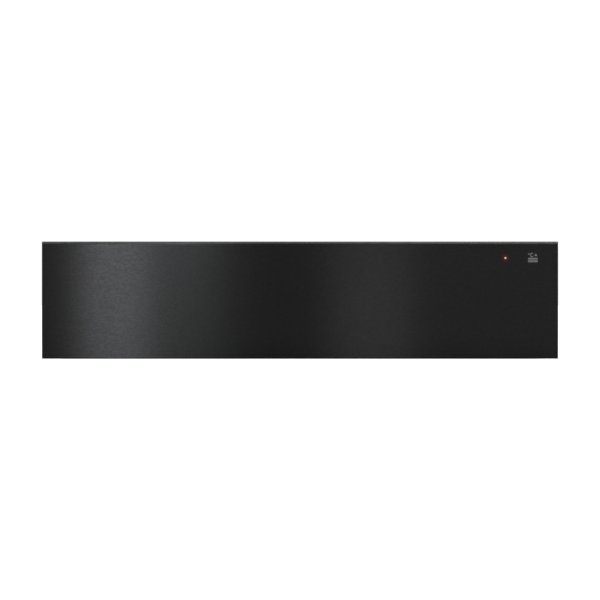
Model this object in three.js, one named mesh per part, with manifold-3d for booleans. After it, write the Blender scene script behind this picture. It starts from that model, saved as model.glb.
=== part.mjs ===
// Built-in warming drawer, 140 mm niche, push-to-open front.
// Millimetres, +Z up. The front faces -Y. The origin is the centre of the footprint, on the
// plane that the housing stands on. Everything is drawn with the drawer closed.
import * as THREE from "three";
import { mergeVertices } from "three/addons/utils/BufferGeometryUtils.js";
import Module from "manifold-3d";

const wasm = await Module();
wasm.setup();

// ---------------------------------------------------------------- driving dimensions
const FRONT_W = 594; // front panel width
const FRONT_H = 135; // front panel height
const FRONT_T = 20; // front panel thickness
const FRONT_Z = 1; // lower edge of the front above the standing plane
const DEPTH = 544; // front face to the end of the cable gland
const FOLD_R = 1.6; // bend radius round the front's edges
const SKIN = 1; // sheet thickness
const HALF_W = 278; // half width of the housing (556 for a 560 niche)
const HOUSING_FRONT = -246;
const HOUSING_REAR = 260.8; // inner face of the rear panel
const SKID_Y0 = -205; // the skids start this far back, out of sight behind the front
const TOP_Z = 136; // top of the housing
const TRAVEL = 420; // drawer travel
const PUSH = 2.5; // how far the front is pushed in to release the latch

const BOX_X = 262.5; // inner half width of the drawer
const BOX_FRONT = -251.2; // inner face of the drawer's front wall
const BOX_REAR = 212; // front face of the drawer's rear wall
const BOX_Z0 = 14;
const BOX_Z1 = 118;

const RAIL_Z = 67.5; // centre height of the runners
const RAIL_Y0 = -236;
const RAIL_Y1 = 244;
const CAGE_Y0 = -118;
const CAGE_Y1 = 92;

const LED = [236.3, 117.0]; // x, z of the indicator
const KEY = [268.0, 117.3]; // x, z of the touch key
const FAN = [0, 75]; // x, z of the fan axis

const ARM_L = 400; // pivot to pivot, both links of the cable arm
const ARM_BASE = [200, 251];
const ARM_TIP = [200, 230];
const LEAD_R = 2.3; // radius of the internal leads

const Y0 = -DEPTH / 2;
const Y1 = DEPTH / 2;

// ---------------------------------------------------------------- materials
const mat = (color, roughness, metalness, extra = {}) =>
  new THREE.MeshStandardMaterial({ color, roughness, metalness, ...extra });
const M = {
  blackSteel: mat(0x1c1c1d, 0.36, 0.9),
  stainless: mat(0xb8bbbd, 0.3, 1),
  galvanised: mat(0x9ea4a7, 0.45, 0.9),
  zinc: mat(0xb9bcbe, 0.32, 1),
  motor: mat(0x45484b, 0.5, 0.7),
  blackPlastic: mat(0x17181a, 0.55, 0),
  greyPlastic: mat(0x6d7275, 0.6, 0),
  wool: mat(0xd9d4c4, 0.95, 0),
  foam: mat(0xc9cbc9, 0.9, 0),
  glass: mat(0x0b0c0d, 0.08, 0),
  silicone: mat(0x2b2d30, 0.8, 0),
  rubber: mat(0x141414, 0.85, 0),
  board: mat(0x1d5b3b, 0.5, 0.1),
  lens: mat(0xff6a4a, 0.25, 0, { emissive: 0xff3a1a }),
  element: mat(0x55504b, 0.55, 0.8),
  cable: mat(0x1d1d1f, 0.7, 0),
};

// ---------------------------------------------------------------- small helpers
const V = (x, y, z) => new THREE.Vector3(x, y, z);
const ALONG_Y = new THREE.Matrix4().makeBasis(V(1, 0, 0), V(0, 0, 1), V(0, -1, 0)); // (x, z) section
const ALONG_X = new THREE.Matrix4().makeBasis(V(0, 1, 0), V(0, 0, 1), V(1, 0, 0)); // (y, z) section

function solid(geometry) {
  const g = geometry.clone();
  g.deleteAttribute("normal");
  g.deleteAttribute("uv");
  const m = mergeVertices(g, 1e-4);
  return new wasm.Manifold(
    new wasm.Mesh({
      numProp: 3,
      vertProperties: new Float32Array(m.attributes.position.array),
      triVerts: new Uint32Array(m.index.array),
    }),
  );
}
function geometryOf(manifold) {
  const mesh = manifold.getMesh();
  const n = mesh.numProp;
  const xyz = new Float32Array(mesh.numVert * 3);
  for (let i = 0; i < mesh.numVert; i++)
    xyz.set(mesh.vertProperties.subarray(i * n, i * n + 3), i * 3);
  const g = new THREE.BufferGeometry();
  g.setAttribute("position", new THREE.BufferAttribute(xyz, 3));
  g.setIndex(new THREE.BufferAttribute(new Uint32Array(mesh.triVerts), 1));
  const flat = g.toNonIndexed();
  flat.computeVertexNormals();
  return flat;
}
const join = (...gs) =>
  geometryOf(gs.map(solid).reduce((a, b) => a.add(b)));
const cut = (g, ...tools) =>
  geometryOf(tools.map(solid).reduce((a, b) => a.subtract(b), solid(g)));
const common = (a, b) => geometryOf(solid(a).intersect(solid(b)));

function box(x0, x1, y0, y1, z0, z1) {
  const [ax, bx] = [Math.min(x0, x1), Math.max(x0, x1)];
  return new THREE.BoxGeometry(bx - ax, y1 - y0, z1 - z0).translate(
    (ax + bx) / 2,
    (y0 + y1) / 2,
    (z0 + z1) / 2,
  );
}
function polygon(points, holes = []) {
  const s = new THREE.Shape(points.map(([a, b]) => new THREE.Vector2(a, b)));
  for (const h of holes)
    s.holes.push(new THREE.Path(h.map(([a, b]) => new THREE.Vector2(a, b))));
  return s;
}
const rect = (a0, a1, b0, b1) => [
  [a0, b0],
  [a1, b0],
  [a1, b1],
  [a0, b1],
];
// A rectangle with rounded corners as a list of points, n segments a corner.
function roundRect(a0, a1, b0, b1, r, n = 3) {
  const out = [];
  const corners = [
    [a1 - r, b0 + r, -90],
    [a1 - r, b1 - r, 0],
    [a0 + r, b1 - r, 90],
    [a0 + r, b0 + r, 180],
  ];
  for (const [ca, cb, start] of corners)
    for (let i = 0; i <= n; i++) {
      const t = THREE.MathUtils.degToRad(start + (90 * i) / n);
      out.push([ca + r * Math.cos(t), cb + r * Math.sin(t)]);
    }
  return out;
}
// A slot with round ends, long side along the first or the second axis.
function slot(ca, cb, la, lb, n = 3) {
  const r = Math.min(la, lb) / 2;
  const out = [];
  const along = la >= lb;
  const d = (along ? la : lb) / 2 - r;
  for (let i = 0; i <= n; i++) {
    const t = THREE.MathUtils.degToRad(-90 + (180 * i) / n);
    out.push([d + r * Math.cos(t), r * Math.sin(t)]);
  }
  for (let i = 0; i <= n; i++) {
    const t = THREE.MathUtils.degToRad(90 + (180 * i) / n);
    out.push([-d + r * Math.cos(t), r * Math.sin(t)]);
  }
  return out.map(([p, q]) => (along ? [ca + p, cb + q] : [ca - q, cb + p]));
}
function disc(ca, cb, r, n = 16, turn = 0) {
  const out = [];
  for (let i = 0; i < n; i++) {
    const t = turn + (2 * Math.PI * i) / n;
    out.push([ca + r * Math.cos(t), cb + r * Math.sin(t)]);
  }
  return out;
}
const extrude = (shape, depth) =>
  new THREE.ExtrudeGeometry(shape, { depth, bevelEnabled: false, steps: 1 });
// A plan (x, y) raised from z0 to z1.
const upZ = (points, z0, z1, holes) =>
  extrude(polygon(points, holes), z1 - z0).translate(0, 0, z0);
// A section (x, z) run from y0 to y1.
const alongY = (points, y0, y1, holes) =>
  extrude(polygon(points, holes), y1 - y0)
    .applyMatrix4(ALONG_Y)
    .translate(0, y1, 0);
// A section (y, z) run from x0 to x1.
const alongX = (points, x0, x1, holes) =>
  extrude(polygon(points, holes), x1 - x0)
    .applyMatrix4(ALONG_X)
    .translate(x0, 0, 0);

// A curve that is stepped exactly at the points it is given.
class PointCurve extends THREE.Curve {
  constructor(points) {
    super();
    this.points = points;
  }
  getPoint(t, target = new THREE.Vector3()) {
    const f = t * (this.points.length - 1);
    const i = Math.min(Math.floor(f + 1e-9), this.points.length - 2);
    return target.lerpVectors(this.points[i], this.points[i + 1], f - i);
  }
  getPointAt(u, target) {
    return this.getPoint(u, target);
  }
  getTangentAt(u, target = new THREE.Vector3()) {
    const f = Math.round(u * (this.points.length - 1));
    const a = this.points[Math.max(f - 1, 0)];
    const b = this.points[Math.min(f + 1, this.points.length - 1)];
    return target.subVectors(b, a).normalize();
  }
}
// Corner points rounded with radius r, n segments a bend.
function rounded(points, r, n = 3) {
  const p = points.map((q) => V(...q));
  const out = [p[0]];
  for (let i = 1; i < p.length - 1; i++) {
    const a = p[i - 1].clone().sub(p[i]).normalize();
    const b = p[i + 1].clone().sub(p[i]).normalize();
    const half = Math.acos(THREE.MathUtils.clamp(a.dot(b), -1, 1)) / 2;
    const d = r / Math.tan(half);
    const centre = p[i]
      .clone()
      .add(a.clone().add(b).normalize().multiplyScalar(r / Math.sin(half)));
    const s = p[i].clone().add(a.multiplyScalar(d)).sub(centre);
    const e = p[i].clone().add(b.multiplyScalar(d)).sub(centre);
    const total = s.angleTo(e);
    for (let k = 0; k <= n; k++) {
      const t = k / n;
      out.push(
        s
          .clone()
          .multiplyScalar(Math.sin((1 - t) * total) / Math.sin(total))
          .add(e.clone().multiplyScalar(Math.sin(t * total) / Math.sin(total)))
          .add(centre),
      );
    }
  }
  out.push(p[p.length - 1]);
  return out;
}
function tube(points, radius, sides = 8) {
  const shape = polygon(disc(0, 0, radius, sides, Math.PI / sides));
  return new THREE.ExtrudeGeometry(shape, {
    steps: points.length - 1,
    bevelEnabled: false,
    extrudePath: new PointCurve(points),
  });
}

const root = new THREE.Group();
const groups = {};
for (const name of ["housing", "drawer", "runners", "cable_arm", "latch", "fan"]) {
  groups[name] = new THREE.Group();
  root.add(groups[name]);
}
// Adds a piece drawn in the object's frame, with its own origin moved to "at".
function add(group, name, geometry, material, at = [0, 0, 0]) {
  const mesh = new THREE.Mesh(
    geometry.clone().translate(-at[0], -at[1], -at[2]),
    material,
  );
  mesh.name = name;
  mesh.position.set(...at);
  groups[group].add(mesh);
  return mesh;
}
const SIDES = [
  ["left", -1],
  ["right", 1],
];
const at = (s, points) => points.map(([a, b]) => [s * a, b]);

// ================================================================= HOUSING
// Floor pan: one folded sheet with four long beads that are its skids, and low flanges all round.
{
  const beads = [-215, -75, 75, 215];
  const top = [
    [-276.6, 14],
    [-275.6, 14],
    [-275.6, 5],
  ];
  for (const c of beads)
    top.push([c - 20, 5], [c - 13, 1], [c + 13, 1], [c + 20, 5]);
  top.push([275.6, 5], [275.6, 14], [276.6, 14], [276.6, 4]);
  const low = [];
  for (const c of [...beads].reverse())
    low.push([c + 20.5, 4], [c + 13.5, 0], [c - 13.5, 0], [c - 20.5, 4]);
  low.push([-276.6, 4]);
  let base = alongY([...top, ...low], SKID_Y0, 260.4);
  const flat = [
    [-276.6, 14],
    [-275.6, 14],
    [-275.6, 5],
    [275.6, 5],
    [275.6, 14],
    [276.6, 14],
    [276.6, 4],
    [-276.6, 4],
  ];
  const ends = beads.map((c) =>
    alongY(
      [
        [c - 20.5, 4],
        [c - 20.5, 5],
        [c + 20.5, 5],
        [c + 20.5, 4],
        [c + 13.5, 0],
        [c - 13.5, 0],
      ],
      SKID_Y0,
      SKID_Y0 + SKIN,
    ),
  );
  base = join(
    base,
    alongY(flat, HOUSING_FRONT, SKID_Y0),
    ...ends,
    box(-274, 274, HOUSING_FRONT, HOUSING_FRONT + 1, 4.4, 10),
    box(-274, 274, 259.4, 260.4, 4.4, 7),
  );
  const vents = [];
  for (const x of [-145, 0, 145])
    for (const y of [-150, -110, 60, 100])
      vents.push(upZ(slot(x, y, 70, 7), 2, 8));
  add("housing", "housing_base", cut(base, ...vents), M.galvanised);
}
// Side walls with an inward top flange and a column of cooling slots towards the rear.
for (const [side, s] of SIDES) {
  const wall = alongY(
    at(s, [
      [277, 1],
      [278, 1],
      [278, 135],
      [264, 135],
      [264, 134],
      [277, 134],
    ]),
    HOUSING_FRONT,
    260.4,
  );
  const slots = [];
  for (let i = 0; i < 6; i++)
    slots.push(
      alongX(slot(150 + 14 * i, 114, 5, 24), Math.min(s * 276, s * 279), Math.max(s * 276, s * 279)),
    );
  add("housing", "housing_side_" + side, cut(wall, ...slots), M.galvanised, [s * 277.5, 0, 0]);
}
// Rear panel with two fields of vertical slots and the hole for the cable gland.
const GLAND = [214, 62];
{
  const holes = [disc(GLAND[0], GLAND[1], 8.6, 16)];
  for (let i = 0; i < 9; i++) {
    holes.push(slot(-60 + 15 * i, 98, 5, 40));
    holes.push(slot(-238 + 12 * i, 98, 4, 34));
  }
  add(
    "housing",
    "housing_rear_panel",
    alongY(rect(-277.8, 277.8, 1, 135), HOUSING_REAR, HOUSING_REAR + SKIN, holes),
    M.galvanised,
    [0, HOUSING_REAR, 0],
  );
}
// Top cover: flat sheet with four pressed ribs across it and a folded front edge.
{
  let cover = join(
    box(-278, 278, HOUSING_FRONT, HOUSING_REAR + SKIN, 135.2, TOP_Z),
    box(-263, 263, HOUSING_FRONT, HOUSING_FRONT + 0.8, 125.5, 135.4),
  );
  const ribs = [-170, -60, 50, 160];
  const out = ribs.map((c) =>
    alongX(
      [
        [c - 15, 135.5],
        [c - 9.6, 132.6],
        [c + 9.6, 132.6],
        [c + 15, 135.5],
      ],
      -236,
      236,
    ),
  );
  const inner = ribs.map((c) =>
    alongX(
      [
        [c - 16.2, 137],
        [c - 9.2, 133.4],
        [c + 9.2, 133.4],
        [c + 16.2, 137],
      ],
      -235,
      235,
    ),
  );
  add("housing", "housing_top_cover", cut(join(cover, ...out), ...inner), M.galvanised, [0, 0, 135.2]);
}
// Insulation over the drawer, and the sheet that holds it up.
add(
  "housing",
  "top_insulation_pad",
  upZ(roundRect(-246, 246, -236, 206, 6, 2), 124.6, 132.2),
  M.wool,
  [0, -15, 124.6],
);
add(
  "housing",
  "top_heat_shield",
  alongY(
    [
      [-275, 133.8],
      [-275, 133],
      [-250.8, 133],
      [-250.8, 123.4],
      [250.8, 123.4],
      [250.8, 133],
      [275, 133],
      [275, 133.8],
      [250, 133.8],
      [250, 124.2],
      [-250, 124.2],
      [-250, 133.8],
    ],
    -244.8,
    216,
  ),
  M.stainless,
  [0, 0, 123.4],
);
// Angle brackets that are screwed to the front edges of the cabinet's side panels.
const SCREW_X = 284.5;
for (const [side, s] of SIDES) {
  const body = join(
    box(s * 275.6, s * 276.7, -247.4, -236.6, 16, 128),
    box(s * 275.6, s * 290, -247.4, -246.3, 16, 128),
    // raised strip that lies on the cabinet's edge
    box(s * 280, s * 290, -246.5, -245.8, 16, 128),
  );
  const holes = [28, 116].map((z) => alongY(disc(s * SCREW_X, z, 2.5, 12), -249, -245));
  add("housing", "cabinet_bracket_" + side, cut(body, ...holes), M.galvanised, [s * 277, -246.3, 72]);
  add(
    "housing",
    "bumper_" + side,
    alongY(disc(s * 282, 72, 5, 12), -249.3, -247.6),
    M.rubber,
    [s * 282, -247.6, 72],
  );
}
// Terminal box on the rear panel, with its lid, and the gland where the mains lead would enter.
{
  const b = cut(
    box(172, 252, 241, 260.4, 38, 96),
    box(174, 250, 239, 258.6, 40, 94),
    alongY(disc(GLAND[0], GLAND[1], 8.6, 16), 257, 262),
    upZ(disc(ARM_BASE[0], ARM_BASE[1], 3.2, 12), 37, 41),
  );
  add("housing", "terminal_box", b, M.greyPlastic, [212, 260.4, 65]);
  add(
    "housing",
    "terminal_box_lid",
    join(box(171, 253, 238.8, 240.7, 37, 97), box(174.4, 249.6, 240.5, 242.6, 88, 93.6)),
    M.greyPlastic,
    [212, 240.7, 65],
  );
  const g = join(
    alongY(disc(GLAND[0], GLAND[1], 8, 16), 256, 268),
    alongY(disc(GLAND[0], GLAND[1], 12.5, 6), 262.1, 268.4),
    alongY(disc(GLAND[0], GLAND[1], 8.6, 16), 268.2, Y1),
  );
  add(
    "housing",
    "mains_cable_gland",
    cut(g, alongY(disc(GLAND[0], GLAND[1], 4.6, 12), 255, Y1 + 1)),
    M.blackPlastic,
    [GLAND[0], HOUSING_REAR + SKIN, GLAND[1]],
  );
}

// ================================================================= PUSH LATCH
{
  const body = join(
    box(-160, -136, 219.4, 260.4, 50, 68),
    box(-172, -124, 258.6, 260.4, 52, 66),
  );
  const bore = alongY(disc(-148, 59, 4.6, 16), 219, 257);
  const holes = [-167, -129].map((x) => alongY(disc(x, 59, 2, 8), 258, 261));
  add("latch", "push_latch_case", cut(body, bore, ...holes), M.blackPlastic, [-148, 260.4, 59]);
  add(
    "latch",
    "latch_plunger",
    join(
      alongY(disc(-148, 59, 4, 12), 217.4, 254),
      alongY(disc(-148, 59, 5.6, 12), 217.2, 219.1),
    ),
    M.greyPlastic,
    [-148, 217.2, 59],
  );
}

// ================================================================= RUNNERS
// Three-member ball runners. Sections are drawn for the right side and mirrored by s.
const race = (web0, web1, tip, h, t, lip) => [
  [web1, -h],
  [web1, h],
  [tip, h],
  [tip, h - t - lip],
  [tip + Math.sign(web1 - tip) * 1.1, h - t - lip],
  [tip + Math.sign(web1 - tip) * 1.6, h - t],
  [web0, h - t],
  [web0, -(h - t)],
  [tip + Math.sign(web1 - tip) * 1.6, -(h - t)],
  [tip + Math.sign(web1 - tip) * 1.1, -(h - t - lip)],
  [tip, -(h - t - lip)],
  [tip, -h],
];
const member = (s, section, y0, y1) =>
  alongY(
    section.map(([x, z]) => [s * x, RAIL_Z + z]),
    y0,
    y1,
  );
function cage(s, web0, web1, tip, zc, legT, ballX, ballR, count) {
  const y0 = CAGE_Y0,
    y1 = CAGE_Y1;
  const pieces = [
    box(s * web0, s * web1, y0, y1, RAIL_Z - zc - legT, RAIL_Z + zc + legT),
    box(s * tip, s * web1, y0, y1, RAIL_Z + zc - legT, RAIL_Z + zc + legT),
    box(s * tip, s * web1, y0, y1, RAIL_Z - zc - legT, RAIL_Z - zc + legT),
  ];
  for (let i = 0; i < count; i++) {
    const y = y0 + ((i + 0.5) * (y1 - y0)) / count;
    for (const k of [-1, 1])
      pieces.push(new THREE.OctahedronGeometry(ballR, 0).translate(s * ballX, y, RAIL_Z + k * zc));
  }
  return join(...pieces);
}
for (const [side, s] of SIDES) {
  add(
    "runners",
    "rail_outer_" + side,
    member(s, race(275.4, 276.6, 266.5, 22.5, 1.2, 1.2), RAIL_Y0, RAIL_Y1),
    M.zinc,
    [s * 276.6, 0, RAIL_Z],
  );
  add(
    "runners",
    "rail_middle_" + side,
    member(s, race(272.6, 273.6, 265.9, 17.7, 1.1, 1.1), RAIL_Y0, RAIL_Y1),
    M.zinc,
    [s * 273.6, 0, RAIL_Z],
  );
  add(
    "runners",
    "rail_inner_" + side,
    member(
      s,
      [
        [264, -13],
        [271, -13],
        [271, -11.8],
        [265, -11.8],
        [265, 11.8],
        [271, 11.8],
        [271, 13],
        [264, 13],
      ],
      RAIL_Y0,
      210,
    ),
    M.zinc,
    [s * 264, 0, RAIL_Z],
  );
  add(
    "runners",
    "ball_cage_outer_" + side,
    cage(s, 274.2, 274.8, 268.6, 19.5, 0.35, 270.9, 1.6, 6),
    M.blackPlastic,
    [s * 274.5, 0, RAIL_Z],
  );
  add(
    "runners",
    "ball_cage_inner_" + side,
    cage(s, 271.5, 272.1, 267.5, 14.8, 0.35, 269.3, 1.5, 6),
    M.blackPlastic,
    [s * 271.8, 0, RAIL_Z],
  );
}

// ================================================================= DRAWER FRONT
{
  const z0 = FRONT_Z,
    z1 = FRONT_Z + FRONT_H,
    hx = FRONT_W / 2,
    yb = Y0 + FRONT_T;
  const arc = (c0, c1, a0, n = 4) =>
    Array.from({ length: n + 1 }, (_, i) => {
      const t = THREE.MathUtils.degToRad(a0 + (90 * i) / n);
      return [c0 + FOLD_R * Math.cos(t), c1 + FOLD_R * Math.sin(t)];
    });
  // (y, z) section with rounded front corners, and (x, y) plan with rounded front corners.
  const section = [
    ...arc(Y0 + FOLD_R, z1 - FOLD_R, 90),
    ...arc(Y0 + FOLD_R, z0 + FOLD_R, 180),
    [yb, z0],
    [yb, z1],
  ];
  const plan = [
    ...arc(-hx + FOLD_R, Y0 + FOLD_R, 180),
    ...arc(hx - FOLD_R, Y0 + FOLD_R, 270),
    [hx, yb],
    [-hx, yb],
  ];
  const shell = common(alongX(section, -hx - 1, hx + 1), upZ(plan, z0 - 1, z1 + 1));
  const skin = cut(
    shell,
    box(-hx + SKIN, hx - SKIN, Y0 + SKIN, yb + 2, z0 + SKIN, z1 - SKIN),
    alongY(disc(LED[0], LED[1], 1.45, 12), Y0 - 1, Y0 + 3),
  );
  add("drawer", "front_panel", skin, M.blackSteel, [0, Y0, z0 + FRONT_H / 2]);
}
const FIX = [
  [-190, 78],
  [190, 78],
]; // screws that hold the front to the drawer
add(
  "drawer",
  "front_core",
  cut(
    box(-295.5, 295.5, -270.6, -254.4, 2.5, 134.5),
    box(217, 285, -271, -256.4, 97, 134),
    box(250, 262, -262, -254, 13, 98), // groove for the wiring
    ...FIX.map(([x, z]) => alongY(disc(x, z, 2.5, 8), -264, -254)),
  ),
  M.foam,
  [0, -254.4, 68.5],
);
add(
  "drawer",
  "front_back_plate",
  alongY(rect(-295.4, 295.4, 2.6, 134.4), -253.8, -252.8, [
    ...FIX.map(([x, z]) => disc(x, z, 2.5, 8)),
    disc(256, 19, 4, 12),
  ]),
  M.galvanised,
  [0, -252.8, 68.5],
);
add(
  "drawer",
  "control_housing",
  cut(box(218, 284, -269.2, -256.9, 98, 133), box(219.5, 282.5, -270, -258.4, 99.5, 131.5), box(252, 260, -262, -256, 97, 101)),
  M.blackPlastic,
  [251, -256.9, 115.5],
);
add(
  "drawer",
  "control_board",
  join(
    box(220.5, 281.5, -264.4, -262.8, 100.5, 130.5),
    box(226, 240, -262.9, -259.6, 104, 112),
    box(246, 254, -266.2, -264.3, 106, 114),
    box(272, 279, -262.9, -260.2, 103, 110),
    // sprung touch pad behind the symbol
    alongY(disc(KEY[0], KEY[1], 2.6, 10), -266, -264.3),
    alongY(disc(KEY[0], KEY[1], 7, 16), -270.7, -265.8),
  ),
  M.board,
  [251, -263.6, 115.5],
);
add(
  "drawer",
  "indicator_lens",
  alongY(disc(LED[0], LED[1], 1.2, 12), Y0, -264.7),
  M.lens,
  [LED[0], Y0, LED[1]],
);
FIX.forEach(([x, z]) =>
  add(
    "drawer",
    "front_fixing_screw_" + (x < 0 ? "left" : "right"),
    join(
      alongY(disc(x, z, 4.4, 12), -250.9, -248.9),
      alongY(disc(x, z, 2, 8), -263, -250.8),
    ),
    M.zinc,
    [x, -250.9, z],
  ),
);

// ================================================================= DRAWER BOX
for (const [side, s] of SIDES)
  add(
    "drawer",
    "drawer_side_" + side,
    alongY(
      at(s, [
        [250, 14],
        [263.5, 14],
        [263.5, 117],
        [270, 117],
        [270, 112],
        [271, 112],
        [271, BOX_Z1],
        [262.5, BOX_Z1],
        [262.5, 15],
        [250, 15],
      ]),
      -251,
      211.7,
    ),
    M.stainless,
    [s * 263, 0, BOX_Z0],
  );
add(
  "drawer",
  "drawer_front_wall",
  join(
    alongY(rect(-262.3, 262.3, BOX_Z0, 117.8), -252.2, BOX_FRONT, [
      ...FIX.map(([x, z]) => disc(x, z, 2.4, 8)),
      disc(256, 19, 4, 12),
    ]),
    box(-262.3, 262.3, BOX_FRONT - 0.5, -242, 116.8, 117.8),
  ),
  M.stainless,
  [0, BOX_FRONT, BOX_Z0],
);
add(
  "drawer",
  "drawer_back_wall",
  alongY(rect(-262.3, 262.3, BOX_Z0, 117.8), BOX_REAR, BOX_REAR + SKIN, [
    disc(FAN[0], FAN[1], 8, 16),
    disc(176, 56, 5, 12),
    ...[-250, -232, -214, 214, 232, 250].map((x) => slot(x, 96, 5, 26)),
  ]),
  M.galvanised,
  [0, BOX_REAR, BOX_Z0],
);
{
  const holes = [];
  for (const x of [-180, -60, 60, 180])
    for (const y of [-190, -20, 150]) holes.push(slot(x, y, 46, 6));
  let pan = upZ(rect(-262.3, 262.3, -251, 211.7), 12.6, 13.6, holes);
  add("drawer", "drawer_floor_pan", pan, M.galvanised, [0, 0, 12.6]);
}
add(
  "drawer",
  "floor_insulation",
  upZ(roundRect(-246, 246, -246, 164, 5, 2), 15.3, 21),
  M.wool,
  [0, -41, 15.3],
);
// Sheathed heating element: six passes under the glass, both ends in the rear compartment.
const ELEMENT_Z = 26;
const ELEMENT_R = 3.2;
{
  const xs = [-205, -123, -41, 41, 123, 205];
  const pts = [[-12, 196, ELEMENT_Z], [-12, 150, ELEMENT_Z], [-205, 150, ELEMENT_Z]];
  pts.push([-205, -212, ELEMENT_Z], [-123, -212, ELEMENT_Z], [-123, 120, ELEMENT_Z]);
  pts.push([-41, 120, ELEMENT_Z], [-41, -212, ELEMENT_Z], [41, -212, ELEMENT_Z]);
  pts.push([41, 120, ELEMENT_Z], [123, 120, ELEMENT_Z], [123, -212, ELEMENT_Z]);
  pts.push([205, -212, ELEMENT_Z], [205, 150, ELEMENT_Z], [12, 150, ELEMENT_Z], [12, 196, ELEMENT_Z]);
  add("drawer", "heating_element", tube(rounded(pts, 16, 4), ELEMENT_R, 8), M.element, [0, 0, ELEMENT_Z]);
}
add(
  "drawer",
  "floor_frame",
  upZ(rect(-262.2, 262.2, -250.9, 170.8), 30.4, 31.3, [roundRect(-236, 236, -226, 148, 10, 3)]),
  M.stainless,
  [0, -40, 30.4],
);
add(
  "drawer",
  "glass_base_plate",
  upZ(roundRect(-248, 248, -238, 160, 9, 4), 31.5, 35.5),
  M.glass,
  [0, -39, 31.5],
);
add(
  "drawer",
  "anti_slip_mat",
  upZ(roundRect(-242, 242, -232, 154, 9, 4), 35.7, 37.7),
  M.silicone,
  [0, -39, 35.7],
);
// Air baffle: slotted inner rear wall and the lid over the fan compartment, one folded sheet.
{
  const holes = [];
  for (let i = -4; i <= 4; i++) {
    const x = 7.4 * i;
    const h = 2 * Math.sqrt(34 * 34 - x * x) - 3;
    holes.push(slot(FAN[0] + x, FAN[1], 4, h));
  }
  for (const s of [-1, 1])
    for (const x of [104, 164, 224])
      for (let i = 0; i < 4; i++) holes.push(slot(s * x, 52 + 11 * i, 46, 4));
  add(
    "drawer",
    "air_baffle",
    join(
      alongY(rect(-262.2, 262.2, 31.6, 117.8), 171.2, 172.2, holes),
      box(-262.2, 262.2, 171.8, 211.6, 116.8, 117.8),
    ),
    M.stainless,
    [0, 171.2, 31.6],
  );
}
// Fan motor behind the drawer, its shaft and wheel in the compartment.
add(
  "fan",
  "fan_motor",
  cut(
    join(
      alongY(disc(FAN[0], FAN[1], 29, 20), 215, 236),
      alongY(disc(FAN[0], FAN[1], 11, 16), 235.8, 240),
      alongY(roundRect(FAN[0] - 36, FAN[0] + 36, FAN[1] - 14, FAN[1] + 14, 6, 2), 213.3, 215.2),
    ),
    alongY(disc(FAN[0], FAN[1], 3.6, 12), 213, 232),
  ),
  M.motor,
  [FAN[0], 213.3, FAN[1]],
);
{
  const R = 33;
  const parts = [
    alongY(disc(0, 0, R, 24), 203, 204.2),
    alongY(disc(0, 0, 9, 16), 190, 204),
    alongY(disc(0, 0, 3, 12), 189, 228),
  ];
  const n = 12;
  for (let i = 0; i < n; i++)
    parts.push(
      new THREE.BoxGeometry(11.5, 17.2, 1)
        .rotateY(0.5)
        .translate(27, 194.9, 0)
        .rotateY((2 * Math.PI * i) / n),
    );
  const ring = alongY(disc(0, 0, R, 24), 186, 187.2, [disc(0, 0, 25, 24)]);
  parts.push(ring);
  const wheel = join(...parts).translate(FAN[0], 0, FAN[1]);
  add("fan", "fan_wheel", wheel, M.zinc, [FAN[0], 203, FAN[1]]);
}
// Sensors and the power module.
add(
  "drawer",
  "thermal_cutout",
  join(
    alongY(disc(-70, 84, 9, 16), 204.6, 211.6),
    box(-75.5, -72.5, 197, 205, 83.4, 84.6),
    box(-67.5, -64.5, 197, 205, 83.4, 84.6),
  ),
  M.blackPlastic,
  [-70, 211.6, 84],
);
add(
  "drawer",
  "temperature_probe",
  join(
    alongX(disc(178.4, 104, 2.6, 10), 52, 88),
    box(60, 66, 174.2, 182.6, 103, 105),
  ),
  M.zinc,
  [70, 178.4, 104],
);
add(
  "drawer",
  "power_module",
  join(
    alongY(roundRect(104, 184, 40, 104, 4, 2), 214.8, 236),
    alongY(roundRect(96, 190.6, 66, 78, 4, 2), 213.3, 215),
  ),
  M.greyPlastic,
  [144, 213.3, 72],
);
add(
  "drawer",
  "latch_striker",
  alongY(roundRect(-160, -136, 48, 70, 3, 2), 213.2, 214.4),
  M.zinc,
  [-148, 213.2, 59],
);
// Wiring from the control board, down the front and back along the right-hand side.
add(
  "drawer",
  "drawer_harness",
  tube(
    rounded(
      [
        [256, -259.4, 97.6],
        [256, -258, 19],
        [256, 206, 19],
        [176, 206, 56],
        [176, 213.6, 56],
      ],
      4,
      3,
    ),
    2.4,
    8,
  ),
  M.cable,
  [256, -250, 19],
);

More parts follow.
